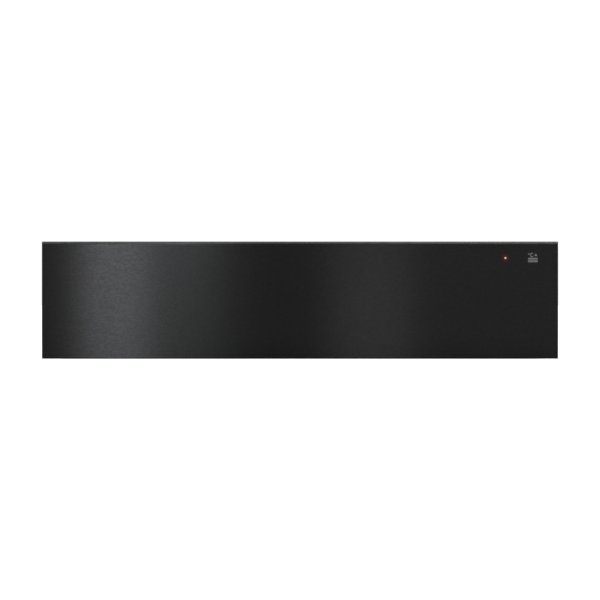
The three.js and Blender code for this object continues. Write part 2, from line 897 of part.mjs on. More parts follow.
// ================================================================= CABLE ARM
// Two equal links, stacked, that fold behind the drawer and carry the wiring to it.
{
  const [bx, by] = ARM_BASE;
  const [tx, ty] = ARM_TIP;
  const theta = Math.asin((by - ty) / 2 / ARM_L);
  const ex = bx - ARM_L * Math.cos(theta);
  const ey = (by + ty) / 2;
  const circle = (r, n, z0, z1, x = 0, y = 0) => upZ(disc(x, y, r, n), z0, z1);
  // fixed pivot on the floor pan
  add(
    "cable_arm",
    "cable_arm_base_bracket",
    join(
      upZ(roundRect(bx - 20, bx + 28, by - 18, by + 7.6, 4, 2), 5.3, 6.5),
      circle(6, 12, 6.4, 7.3, bx, by),
      circle(3, 12, 7, 9.6, bx, by),
      circle(4.2, 12, 9.1, 10, bx, by),
    ),
    M.galvanised,
    [bx, by, 5.3],
  );
  // A link lies along +x from its own first pivot, before it is turned into place.
  const link = (z, holes, extra) => {
    const h = 7.5;
    const outline = slot(ARM_L / 2, 0, ARM_L + 2 * h, 2 * h, 6);
    const plate = upZ(outline, z, z + 1.2, holes);
    return join(
      plate,
      box(22, ARM_L - 22, -h, 1 - h, z + 0.2, z + 6),
      box(22, ARM_L - 22, h - 1, h, z + 0.2, z + 6),
      ...extra,
    );
  };
  const rear = link(
    7.6,
    [disc(0, 0, 3.3, 16)],
    [circle(6.4, 12, 8.6, 15.7, ARM_L, 0), circle(3, 12, 15, 25, ARM_L, 0)],
  );
  const rearMesh = add("cable_arm", "cable_arm_rear_link", rear, M.galvanised);
  rearMesh.position.set(bx, by, 0);
  rearMesh.rotation.z = Math.PI + theta;
  const front = link(
    16,
    [disc(0, 0, 3.3, 16)],
    [
      circle(6.4, 12, 17, 24.6, ARM_L, 0),
      circle(3, 12, 24, 28.4, ARM_L, 0),
      circle(5.4, 12, 27.2, 28.8, ARM_L, 0),
    ],
  );
  const frontMesh = add("cable_arm", "cable_arm_front_link", front, M.galvanised);
  frontMesh.position.set(ex, ey, 0);
  frontMesh.rotation.z = -theta;
  // wiring clipped into each link
  const rearLead = add(
    "cable_arm",
    "arm_harness_rear",
    tube(rounded([[0, 0, 22], [0, 0, 12], [393.2, 0, 12]], 9, 4), LEAD_R, 8),
    M.cable,
  );
  rearLead.position.copy(rearMesh.position);
  rearLead.rotation.copy(rearMesh.rotation);
  const frontLead = add(
    "cable_arm",
    "arm_harness_front",
    tube(
      rounded([[0, 0, 25.4], [0, 0, 37], [20, 0, 37], [44, 0, 19.8], [393.2, 0, 19.8]], 9, 4),
      LEAD_R,
      8,
    ),
    M.cable,
  );
  frontLead.position.copy(frontMesh.position);
  frontLead.rotation.copy(frontMesh.rotation);
  // bracket on the drawer, slotted for the open pivot
  const plate = cut(
    join(
      box(tx - 13, tx + 13, 213.3, 214.5, 25.2, 50),
      box(tx - 10, tx + 10, 213.3, ty + 13.4, 25.2, 26.6),
    ),
    upZ(slot(tx, ty, 7.2, 19.4, 4), 24, 28),
    ...[38, 46].map((z) => alongY(disc(tx, z, 1.8, 8), 213, 215)),
  );
  add("cable_arm", "cable_arm_drawer_bracket", plate, M.galvanised, [tx, 213.3, 25.2]);
  // lead from the terminal box, straight down the axis of the fixed pivot
  add(
    "cable_arm",
    "arm_lead_housing",
    join(
      circle(LEAD_R, 8, 22.3, 42, bx, by),
      circle(4.4, 12, 36, 37.7, bx, by),
      circle(2.9, 12, 37.5, 42, bx, by),
    ),
    M.cable,
    [bx, by, 37.7],
  );
  // moulded boot over the slotted bracket, with the lead up to the power module
  const boot = cut(
    upZ(roundRect(tx - 9, tx + 9, ty - 13, ty + 13, 4, 3), 26.9, 33),
    upZ(roundRect(tx - 6.6, tx + 6.6, ty - 11.8, ty + 11.8, 4, 3), 26, 30),
  );
  add(
    "cable_arm",
    "arm_lead_drawer",
    join(
      boot,
      tube(
        rounded([[tx - 7.6, ty - 3, 30.2], [172, ty - 3, 30.2], [172, ty - 3, 39.6]], 9, 4),
        LEAD_R,
        8,
      ),
    ),
    M.cable,
    [tx, ty, 26.9],
  );
}

export default root;
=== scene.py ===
"""Looks for a built-in warming drawer: camera, light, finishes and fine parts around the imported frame."""

import math

import bmesh
import bpy
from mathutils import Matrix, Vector
from mathutils.geometry import tessellate_polygon

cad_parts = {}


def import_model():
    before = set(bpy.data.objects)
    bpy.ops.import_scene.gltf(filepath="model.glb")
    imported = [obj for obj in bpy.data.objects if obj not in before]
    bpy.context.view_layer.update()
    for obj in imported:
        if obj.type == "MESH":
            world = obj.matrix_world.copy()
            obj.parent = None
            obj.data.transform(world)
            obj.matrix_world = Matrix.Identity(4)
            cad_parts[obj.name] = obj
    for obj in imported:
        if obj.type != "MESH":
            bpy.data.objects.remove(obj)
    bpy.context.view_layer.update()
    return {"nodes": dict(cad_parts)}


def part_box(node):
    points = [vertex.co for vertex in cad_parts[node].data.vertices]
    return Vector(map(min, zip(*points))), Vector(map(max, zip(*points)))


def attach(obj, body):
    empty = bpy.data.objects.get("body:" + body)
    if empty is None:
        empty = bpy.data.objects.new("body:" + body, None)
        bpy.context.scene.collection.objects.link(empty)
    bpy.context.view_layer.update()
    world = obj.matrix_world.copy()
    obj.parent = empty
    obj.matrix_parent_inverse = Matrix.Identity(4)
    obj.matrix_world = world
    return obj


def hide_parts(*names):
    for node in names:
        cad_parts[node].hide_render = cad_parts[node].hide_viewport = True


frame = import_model()
nodes = frame["nodes"]
MM = 0.001

# ------------------------------------------------------------------ camera
FRONT_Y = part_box("front_panel")[0].y
FRONT_Z = (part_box("front_panel")[0].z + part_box("front_panel")[1].z) / 2
FRONT_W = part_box("front_panel")[1].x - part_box("front_panel")[0].x
CAMERA_BACK = 4.0
FRONT_SHARE = 516.4 / 600  # the front's share of the picture's width

camera = bpy.data.objects.new("camera", bpy.data.cameras.new("camera"))
bpy.context.scene.collection.objects.link(camera)
camera.data.sensor_width = 36
camera.data.lens = 36 * CAMERA_BACK * FRONT_SHARE / FRONT_W
camera.data.clip_start, camera.data.clip_end = 0.05, 60
camera.location = (0, FRONT_Y - CAMERA_BACK, FRONT_Z + 0.00016)
camera.rotation_euler = (math.pi / 2, 0, 0)
bpy.context.scene.camera = camera

scene = bpy.context.scene
scene.view_settings.view_transform = "Standard"
scene.view_settings.look = "None"
scene.view_settings.exposure = 0
scene.view_settings.gamma = 1


# ------------------------------------------------------------------ node graphs
class Graph:
    """A material's node tree, with one call for each kind of node used here."""

    def __init__(self, name):
        self.material = bpy.data.materials.new(name)
        self.material.use_nodes = True
        self.tree = self.material.node_tree
        self.tree.nodes.clear()
        self.out = self.tree.nodes.new("ShaderNodeOutputMaterial")
        self.bsdf = self.tree.nodes.new("ShaderNodeBsdfPrincipled")
        self.tree.links.new(self.bsdf.outputs[0], self.out.inputs["Surface"])
        self.object = self.tree.nodes.new("ShaderNodeTexCoord").outputs["Object"]

    def put(self, socket, value):
        if isinstance(value, bpy.types.NodeSocket):
            self.tree.links.new(value, socket)
        elif value is not None:
            socket.default_value = value

    def set(self, **values):
        for name, value in values.items():
            self.put(self.bsdf.inputs[name.replace("_", " ")], value)
        return self

    def at(self, scale=(1, 1, 1), shift=(0, 0, 0), turn=(0, 0, 0), source=None):
        n = self.tree.nodes.new("ShaderNodeMapping")
        self.put(n.inputs["Vector"], source or self.object)
        n.inputs["Scale"].default_value = scale
        n.inputs["Location"].default_value = shift
        n.inputs["Rotation"].default_value = turn
        return n.outputs[0]

    def noise(self, vector, scale, detail=2.0, rough=0.5, distortion=0.0):
        n = self.tree.nodes.new("ShaderNodeTexNoise")
        self.put(n.inputs["Vector"], vector)
        self.put(n.inputs["Scale"], scale)
        n.inputs["Detail"].default_value = detail
        n.inputs["Roughness"].default_value = rough
        n.inputs["Distortion"].default_value = distortion
        return n.outputs["Fac"]

    def voronoi(self, vector, scale, feature="F1", spread=1.0, output="Distance"):
        n = self.tree.nodes.new("ShaderNodeTexVoronoi")
        n.feature = feature
        self.put(n.inputs["Vector"], vector)
        self.put(n.inputs["Scale"], scale)
        n.inputs["Randomness"].default_value = spread
        return n.outputs[output]

    def ramp(self, factor, *stops):
        n = self.tree.nodes.new("ShaderNodeValToRGB")
        self.put(n.inputs[0], factor)
        ramp = n.color_ramp
        while len(ramp.elements) < len(stops):
            ramp.elements.new(0.5)
        for element, (place, value) in zip(ramp.elements, stops):
            element.position = place
            element.color = grey(value)
        return n.outputs["Color"]

    def scale(self, value, low, high, from_low=0.0, from_high=1.0):
        n = self.tree.nodes.new("ShaderNodeMapRange")
        self.put(n.inputs["Value"], value)
        for name, x in (
            ("From Min", from_low),
            ("From Max", from_high),
            ("To Min", low),
            ("To Max", high),
        ):
            n.inputs[name].default_value = x
        return n.outputs[0]

    def math(self, operation, a, b=None, clamp=False):
        n = self.tree.nodes.new("ShaderNodeMath")
        n.operation, n.use_clamp = operation, clamp
        self.put(n.inputs[0], a)
        if b is not None:
            self.put(n.inputs[1], b)
        return n.outputs[0]

    def mix(self, factor, a, b, blend="MIX"):
        n = self.tree.nodes.new("ShaderNodeMix")
        n.data_type, n.blend_type = "RGBA", blend
        self.put(n.inputs[0], factor)
        self.put(n.inputs[6], grey(a) if not isinstance(a, bpy.types.NodeSocket) else a)
        self.put(n.inputs[7], grey(b) if not isinstance(b, bpy.types.NodeSocket) else b)
        return n.outputs[2]

    def parts(self, vector):
        n = self.tree.nodes.new("ShaderNodeSeparateXYZ")
        self.put(n.inputs[0], vector)
        return n.outputs[0], n.outputs[1], n.outputs[2]

    def join(self, x, y, z):
        n = self.tree.nodes.new("ShaderNodeCombineXYZ")
        for socket, value in zip(n.inputs, (x, y, z)):
            self.put(socket, value)
        return n.outputs[0]

    def across(self, axis):
        """The direction in the surface that lies across a grain along axis; highlights spread that way."""
        n = self.tree.nodes.new("ShaderNodeVectorMath")
        n.operation = "CROSS_PRODUCT"
        geometry = self.tree.nodes.new("ShaderNodeNewGeometry")
        self.put(n.inputs[0], geometry.outputs["Normal"])
        n.inputs[1].default_value = tuple(a + 0.003 for a in AXES[axis])
        self.put(self.bsdf.inputs["Tangent"], n.outputs[0])

    def bump(self, height, strength=0.3, distance=0.0005, normal=None):
        n = self.tree.nodes.new("ShaderNodeBump")
        self.put(n.inputs["Height"], height)
        n.inputs["Strength"].default_value = strength
        n.inputs["Distance"].default_value = distance
        if normal is not None:
            self.put(n.inputs["Normal"], normal)
        return n.outputs[0]


def grey(value):
    if isinstance(value, (int, float)):
        return (value, value, value, 1)
    return (*value[:3], 1)


AXES = {"x": (1, 0, 0), "y": (0, 1, 0), "z": (0, 0, 1)}


def brushed(
    name,
    color,
    along="x",
    rough=0.3,
    aniso=0.6,
    contrast=0.08,
    fine=900.0,
    streak=0.012,
    bump=0.12,
    stain=0.05,
):
    """Sheet metal ground in one direction. fine is lines per metre across, streak how much longer a line is than wide."""
    g = Graph(name)
    stretch = {
        "x": (streak, 1, 1),
        "y": (1, streak, 1),
        "z": (1, 1, streak),
    }[along]
    line = g.at(stretch)
    lines = g.noise(line, fine, 3, 0.65)
    broad = g.noise(line, fine * 0.22, 2, 0.5)
    cloud = g.noise(g.at(), 14, 2, 0.5)
    both = g.math("ADD", g.math("MULTIPLY", lines, 0.6), g.math("MULTIPLY", broad, 0.4))
    tone = g.scale(both, 1 - contrast, 1 + contrast, 0.3, 0.7)
    tone = g.math("MULTIPLY", tone, g.scale(cloud, 1 - stain, 1 + stain, 0.3, 0.7))
    dark = g.mix(1.0, color, g.join(tone, tone, tone), "MULTIPLY")
    g.set(
        Base_Color=dark,
        Metallic=1.0,
        Roughness=g.scale(both, rough * 0.82, rough * 1.18, 0.3, 0.7),
        Anisotropic=aniso,
        Normal=g.bump(both, bump, 0.00006),
    )
    g.across(along)
    return g.material


def galvanised(name="galvanised", color=(0.56, 0.585, 0.60), rough=0.36, spangle=95.0, strength=1.0):
    """Hot-dip zinc: small frosted crystal flakes, each a little lighter or darker, under a fine frost and faint
    handling marks.
    """
    g = Graph(name)
    warp = g.noise(g.at(), 60, 2, 0.5)
    drift = g.noise(g.at(shift=(7, 3, 1)), 60, 2, 0.5)
    bend = g.tree.nodes.new("ShaderNodeVectorMath")
    bend.operation = "MULTIPLY_ADD"
    g.put(bend.inputs[0], g.join(warp, drift, warp))
    bend.inputs[1].default_value = (0.008, 0.008, 0.008)
    g.put(bend.inputs[2], g.object)
    bent = bend.outputs[0]
    r, _, b = g.parts(g.voronoi(bent, spangle, output="Color"))
    r2, _, b2 = g.parts(g.voronoi(bent, spangle * 2.4, output="Color"))
    flake = g.math("ADD", g.math("MULTIPLY", r, 0.6), g.math("MULTIPLY", r2, 0.4))
    sheen = g.math("ADD", g.math("MULTIPLY", b, 0.6), g.math("MULTIPLY", b2, 0.4))
    frost = g.noise(g.at(), 1700, 2, 0.6)
    cloud = g.noise(g.at(), 5, 3, 0.5)
    k = strength
    tone = g.scale(flake, 1 - 0.075 * k, 1 + 0.075 * k)
    tone = g.math("MULTIPLY", tone, g.scale(cloud, 0.965, 1.03, 0.3, 0.7))
    tone = g.math("MULTIPLY", tone, g.scale(frost, 0.97, 1.03, 0.3, 0.7))
    g.set(
        Base_Color=g.mix(1.0, color, g.join(tone, tone, tone), "MULTIPLY"),
        Metallic=1.0,
        Roughness=g.math("ADD", g.scale(sheen, rough - 0.05 * k, rough + 0.06 * k), g.scale(cloud, -0.02, 0.02, 0.3, 0.7)),
        Normal=g.bump(g.math("ADD", g.math("MULTIPLY", flake, 0.6), g.math("MULTIPLY", frost, 0.4)), 0.1, 0.00008),
    )
    return g.material


def plated(name, color=(0.62, 0.63, 0.64), rough=0.24, along="y"):
    """Bright zinc plate over cold-rolled strip: rolling lines, a faint blue cast and dulled patches."""
    g = Graph(name)
    stretch = {"x": (0.05, 1, 1), "y": (1, 0.05, 1), "z": (1, 1, 0.05)}[along]
    lines = g.noise(g.at(stretch), 1300, 2, 0.6)
    patch = g.noise(g.at(), 26, 3, 0.6)
    tone = g.math("MULTIPLY", g.scale(lines, 0.95, 1.05, 0.3, 0.7), g.scale(patch, 0.93, 1.05, 0.3, 0.7))
    tint = g.mix(g.scale(patch, 0, 1, 0.35, 0.65), color, (color[0] * 0.93, color[1] * 0.97, color[2] * 1.04))
    g.set(
        Base_Color=g.mix(1.0, tint, g.join(tone, tone, tone), "MULTIPLY"),
        Metallic=1.0,
        Roughness=g.math("ADD", g.scale(lines, rough - 0.05, rough + 0.05, 0.3, 0.7), g.scale(patch, -0.04, 0.07, 0.3, 0.7)),
        Normal=g.bump(lines, 0.08, 0.00005),
    )
    return g.material


def moulded(name, color, rough=0.5, grain=1600.0, depth=0.12, spread=0.06, metallic=0.0):
    """Injection-moulded plastic or rubber with a fine spark-eroded texture and faint flow marks."""
    g = Graph(name)
    texture = g.noise(g.at(), grain, 3, 0.6)
    flow = g.noise(g.at(), 30, 3, 0.6)
    tone = g.math("MULTIPLY", g.scale(texture, 1 - spread, 1 + spread, 0.3, 0.7), g.scale(flow, 0.92, 1.08, 0.3, 0.7))
    g.set(
        Base_Color=g.mix(1.0, color, g.join(tone, tone, tone), "MULTIPLY"),
        Metallic=metallic,
        Roughness=g.math("ADD", g.scale(texture, rough - 0.06, rough + 0.06, 0.3, 0.7), g.scale(flow, -0.04, 0.04, 0.3, 0.7)),
        Normal=g.bump(texture, depth, 0.0001),
    )
    return g.material


def woolly(name="mineral_wool", color=(0.62, 0.58, 0.44)):
    g = Graph(name)
    fibre = g.noise(g.at((1, 1, 4)), 700, 5, 0.7, 1.2)
    tuft = g.noise(g.at(), 90, 3, 0.6)
    tone = g.math("MULTIPLY", g.scale(fibre, 0.7, 1.25, 0.3, 0.7), g.scale(tuft, 0.8, 1.15, 0.3, 0.7))
    g.set(
        Base_Color=g.mix(1.0, color, g.join(tone, tone, tone), "MULTIPLY"),
        Roughness=0.95,
        Normal=g.bump(g.math("ADD", fibre, tuft), 0.6, 0.0012),
    )
    return g.material


LED = Vector((0.2363, 0, 0.1170))
FRONT_TONE = (0.042, 0.042, 0.0418)
FRONT_ROUGH = 0.312
FRONT_ANISO = 1.0


def front_finish():
    """Black-coated brushed steel: fine horizontal grain, a sheen that spreads across the grain, and a painted red halo
    round the lamp, emitted by the coat itself.
    """
    g = Graph("black_brushed_steel")
    lines = g.noise(g.at((0.03, 1, 1)), 2600, 3, 0.6)
    streak = g.noise(g.at((0.6, 1, 1), shift=(0.4, 0.1, 0)), 560, 2, 0.5)
    cloud = g.noise(g.at((0.5, 1, 1)), 9, 2, 0.5)
    both = g.math("ADD", g.math("MULTIPLY", lines, 0.3), g.math("MULTIPLY", streak, 0.7))
    tone = g.scale(both, 0.875, 1.125, 0.3, 0.7)
    tone = g.math("MULTIPLY", tone, g.scale(cloud, 0.985, 1.015, 0.3, 0.7))
    # painted light: a red halo round the lamp, emitted by the coat and fading out from 1.2 to 6.4 mm off the lamp's
    # centre
    x, y, z = g.parts(g.object)
    dx = g.math("SUBTRACT", x, LED.x)
    dz = g.math("SUBTRACT", z, LED.z)
    away = g.math("SQRT", g.math("ADD", g.math("MULTIPLY", dx, dx), g.math("MULTIPLY", dz, dz)))
    painted_halo = g.math("POWER", g.math("MAXIMUM", g.scale(away, 1.0, 0.0, 0.0012, 0.0064), 0.0), 1.6)
    g.set(
        Base_Color=g.mix(1.0, FRONT_TONE, g.join(tone, tone, tone), "MULTIPLY"),
        Metallic=1.0,
        Roughness=g.scale(both, FRONT_ROUGH + 0.036, FRONT_ROUGH - 0.036, 0.3, 0.7),
        Anisotropic=FRONT_ANISO,
        Normal=g.bump(both, 0.015, 0.00004),
        Emission_Color=g.mix(painted_halo, (0, 0, 0), (0.060, 0.004, 0.003)),
        Emission_Strength=1.0,
    )
    g.across("x")
    return g.material


def balls_finish():
    g = Graph("ball_steel")
    mark = g.noise(g.at(), 900, 2, 0.6)
    g.set(
        Base_Color=g.mix(g.scale(mark, 0, 1, 0.35, 0.65), (0.66, 0.66, 0.67), (0.74, 0.74, 0.75)),
        Metallic=1.0,
        Roughness=g.scale(mark, 0.08, 0.16, 0.3, 0.7),
    )
    return g.material


def black_glass():
    """Glass-ceramic plate: deep black, very smooth, with a faint haze from cleaning."""
    g = Graph("black_glass")
    haze = g.noise(g.at((1, 0.4, 1)), 9, 4, 0.6)
    dust = g.noise(g.at(), 700, 2, 0.7)
    g.set(
        Base_Color=g.mix(g.scale(dust, 0, 1, 0.45, 0.75), (0.006, 0.006, 0.007), (0.011, 0.011, 0.012)),
        Roughness=g.scale(haze, 0.05, 0.12, 0.3, 0.7),
        Normal=g.bump(haze, 0.02, 0.0002),
    )
    return g.material


def honeycomb():
    """Paper honeycomb board: brown cells a few millimetres across."""
    g = Graph("honeycomb_board")
    edge = g.voronoi(g.at((1, 0.001, 1)), 190, feature="DISTANCE_TO_EDGE", spread=0.15)
    fibre = g.noise(g.at((1, 1, 3)), 1200, 4, 0.7)
    wall = g.scale(edge, 0.0, 1.0, 0.02, 0.12)
    g.set(
        Base_Color=g.mix(wall, (0.30, 0.20, 0.11), g.mix(g.scale(fibre, 0, 1, 0.3, 0.7), (0.42, 0.29, 0.17), (0.52, 0.38, 0.23))),
        Roughness=0.9,
        Normal=g.bump(g.math("ADD", wall, g.math("MULTIPLY", fibre, 0.3)), 0.5, 0.0006),
    )
    return g.material


def circuit():
    """Solder mask over copper tracks, with tinned pads."""
    g = Graph("circuit_mask")
    track = g.voronoi(g.at((1, 1, 1)), 420, feature="DISTANCE_TO_EDGE", spread=0.55)
    pads = g.voronoi(g.at(shift=(0.3, 0, 0.2)), 300, spread=0.7)
    speck = g.noise(g.at(), 2600, 2, 0.6)
    body = g.mix(g.scale(track, 1.0, 0.0, 0.10, 0.13), (0.006, 0.055, 0.022), (0.018, 0.115, 0.045))
    body = g.mix(g.scale(speck, 0.0, 0.25, 0.4, 0.8), body, (0.03, 0.12, 0.06))
    pad = g.scale(pads, 1.0, 0.0, 0.16, 0.19)
    g.set(
        Base_Color=g.mix(pad, body, (0.62, 0.60, 0.56)),
        Metallic=g.math("MULTIPLY", pad, 0.9),
        Roughness=g.scale(pad, 0.42, 0.28),
        Normal=g.bump(g.scale(track, 0.0, 1.0, 0.10, 0.13), 0.2, 0.0001),
    )
    return g.material


def sheath():
    """Heater tube: nickel alloy that has been hot, straw and blue-brown in patches."""
    g = Graph("element_sheath")
    heat = g.noise(g.at(), 22, 3, 0.55)
    grit = g.noise(g.at(), 1500, 3, 0.65)
    hot = g.mix(g.scale(heat, 0, 1, 0.35, 0.65), (0.16, 0.12, 0.085), (0.10, 0.095, 0.11))
    tone = g.scale(grit, 0.85, 1.15, 0.3, 0.7)
    g.set(
        Base_Color=g.mix(1.0, hot, g.join(tone, tone, tone), "MULTIPLY"),
        Metallic=0.9,
        Roughness=g.scale(grit, 0.42, 0.6, 0.3, 0.7),
        Normal=g.bump(grit, 0.2, 0.0001),
    )
    return g.material


def woven(name, color, pitch=900.0, rough=0.6):
    """Braided sleeve over wiring: crossing diagonal strands."""
    g = Graph(name)
    x, y, z = g.parts(g.object)
    along = g.math("ADD", g.math("ADD", x, y), z)
    thwart = g.math("SUBTRACT", g.math("ADD", x, z), y)
    one = g.math("SINE", g.math("MULTIPLY", along, pitch * 3.0))
    two = g.math("SINE", g.math("MULTIPLY", thwart, pitch * 3.0))
    knit = g.math("MULTIPLY", one, two)
    fuzz = g.noise(g.at(), 1800, 2, 0.6)
    tone = g.math("MULTIPLY", g.scale(knit, 0.8, 1.25, -1.0, 1.0), g.scale(fuzz, 0.85, 1.15, 0.3, 0.7))
    g.set(
        Base_Color=g.mix(1.0, color, g.join(tone, tone, tone), "MULTIPLY"),
        Roughness=rough,
        Normal=g.bump(g.math("ADD", knit, fuzz), 0.35, 0.0002),
    )
    return g.material


M = {
    "front": front_finish(),
    "steel_x": brushed("stainless_grain_x", (0.60, 0.60, 0.605), "x", rough=0.32, contrast=0.05),
    "steel_y": brushed("stainless_grain_y", (0.60, 0.60, 0.605), "y", rough=0.32, contrast=0.05),
    "zinc_sheet": galvanised(),
    "plated": plated("bright_zinc"),
    "screw": plated("screw_zinc", (0.58, 0.585, 0.60), 0.27, "z"),
    "balls": balls_finish(),
    "black_plastic": moulded("black_plastic", (0.018, 0.018, 0.02), 0.48),
    "grey_plastic": moulded("grey_plastic", (0.30, 0.31, 0.32), 0.5),
    "pale_plastic": moulded("natural_nylon", (0.62, 0.60, 0.54), 0.42),
    "rubber": moulded("black_rubber", (0.014, 0.014, 0.015), 0.75, 900, 0.25),
    "silicone": moulded("mat_silicone", (0.024, 0.025, 0.027), 0.6, 1100, 0.2),
    "cable": moulded("cable_jacket", (0.016, 0.016, 0.018), 0.42, 500, 0.05),
    "braid": woven("braided_sleeve", (0.030, 0.030, 0.033)),
    "motor": plated("motor_laminations", (0.26, 0.265, 0.27), 0.4, "z"),
    "copper": moulded("enamelled_copper", (0.55, 0.20, 0.08), 0.3, 1500, 0.2, 0.1, 0.9),
    "wool": woolly(),
    "honeycomb": honeycomb(),
    "glass": black_glass(),
    "board": circuit(),
    "sheath": sheath(),
}


# ------------------------------------------------------------------ geometry helpers
def link(obj):
    scene.collection.objects.link(obj)
    return obj


def smooth_by_angle():
    """A modifier tree that shades smooth and keeps edges over 35 degrees sharp."""
    tree = bpy.data.node_groups.new("shade_by_angle", "GeometryNodeTree")
    tree.interface.new_socket("Geometry", in_out="INPUT", socket_type="NodeSocketGeometry")
    tree.interface.new_socket("Geometry", in_out="OUTPUT", socket_type="NodeSocketGeometry")
    first = tree.nodes.new("NodeGroupInput")
    last = tree.nodes.new("NodeGroupOutput")
    faces = tree.nodes.new("GeometryNodeSetShadeSmooth")
    faces.domain = "FACE"
    edges = tree.nodes.new("GeometryNodeSetShadeSmooth")
    edges.domain = "EDGE"
    edges.inputs["Shade Smooth"].default_value = False
    angle = tree.nodes.new("GeometryNodeInputMeshEdgeAngle")
    over = tree.nodes.new("FunctionNodeCompare")
    over.data_type, over.operation = "FLOAT", "GREATER_THAN"
    over.inputs[1].default_value = math.radians(35)
    tree.links.new(angle.outputs["Unsigned Angle"], over.inputs[0])
    tree.links.new(first.outputs[0], faces.inputs["Geometry"])
    tree.links.new(faces.outputs[0], edges.inputs["Geometry"])
    tree.links.new(over.outputs[0], edges.inputs["Selection"])
    tree.links.new(edges.outputs[0], last.inputs[0])
    return tree


SHADE = smooth_by_angle()


def soften(obj, width=0.25, segments=2, angle=30, weld=True):
    """Breaks the sharp edges of a piece with a small round, width in millimetres, and shades it."""
    if weld:
        w = obj.modifiers.new("weld", "WELD")
        w.merge_threshold = 1e-6
        d = obj.modifiers.new("flat", "DECIMATE")
        d.decimate_type = "DISSOLVE"
        d.angle_limit = math.radians(0.6)
    if width:
        b = obj.modifiers.new("edge", "BEVEL")
        b.width, b.segments = width * MM, segments
        b.limit_method, b.angle_limit = "ANGLE", math.radians(angle)
        b.use_clamp_overlap = True
    s = obj.modifiers.new("shade", "NODES")
    s.node_group = SHADE
    n = obj.modifiers.new("normals", "WEIGHTED_NORMAL")
    n.keep_sharp = True
    return obj


def finish(name, material, width=0.25, segments=2, angle=30):
    """A CAD node keeps its shape and gets its finish and softened edges."""
    obj = nodes[name]
    obj.data.materials.clear()
    obj.data.materials.append(material)
    return soften(obj, width, segments, angle)


def circle(cx, cz, r, n=24, start=0.0):
    return [
        (cx + r * math.cos(start + 2 * math.pi * i / n), cz + r * math.sin(start + 2 * math.pi * i / n))
        for i in range(n)
    ]


def rounded_rect(x0, x1, z0, z1, r, n=5):
    out = []
    for cx, cz, start in (
        (x1 - r, z0 + r, -90),
        (x1 - r, z1 - r, 0),
        (x0 + r, z1 - r, 90),
        (x0 + r, z0 + r, 180),
    ):
        for i in range(n + 1):
            t = math.radians(start + 90 * i / n)
            out.append((cx + r * math.cos(t), cz + r * math.sin(t)))
    return out


def stadium(cx, cy, half, r, n=8, upright=False):
    """A slot's outline: half is the half length between the two end centres."""
    out = []
    for k, side in ((1, -90), (-1, 90)):
        for i in range(n + 1):
            t = math.radians(side + 180 * i / n)
            out.append((k * half + r * math.cos(t), r * math.sin(t)))
    if upright:
        out = [(-b, a) for a, b in out]
    return [(cx + a, cy + b) for a, b in out]


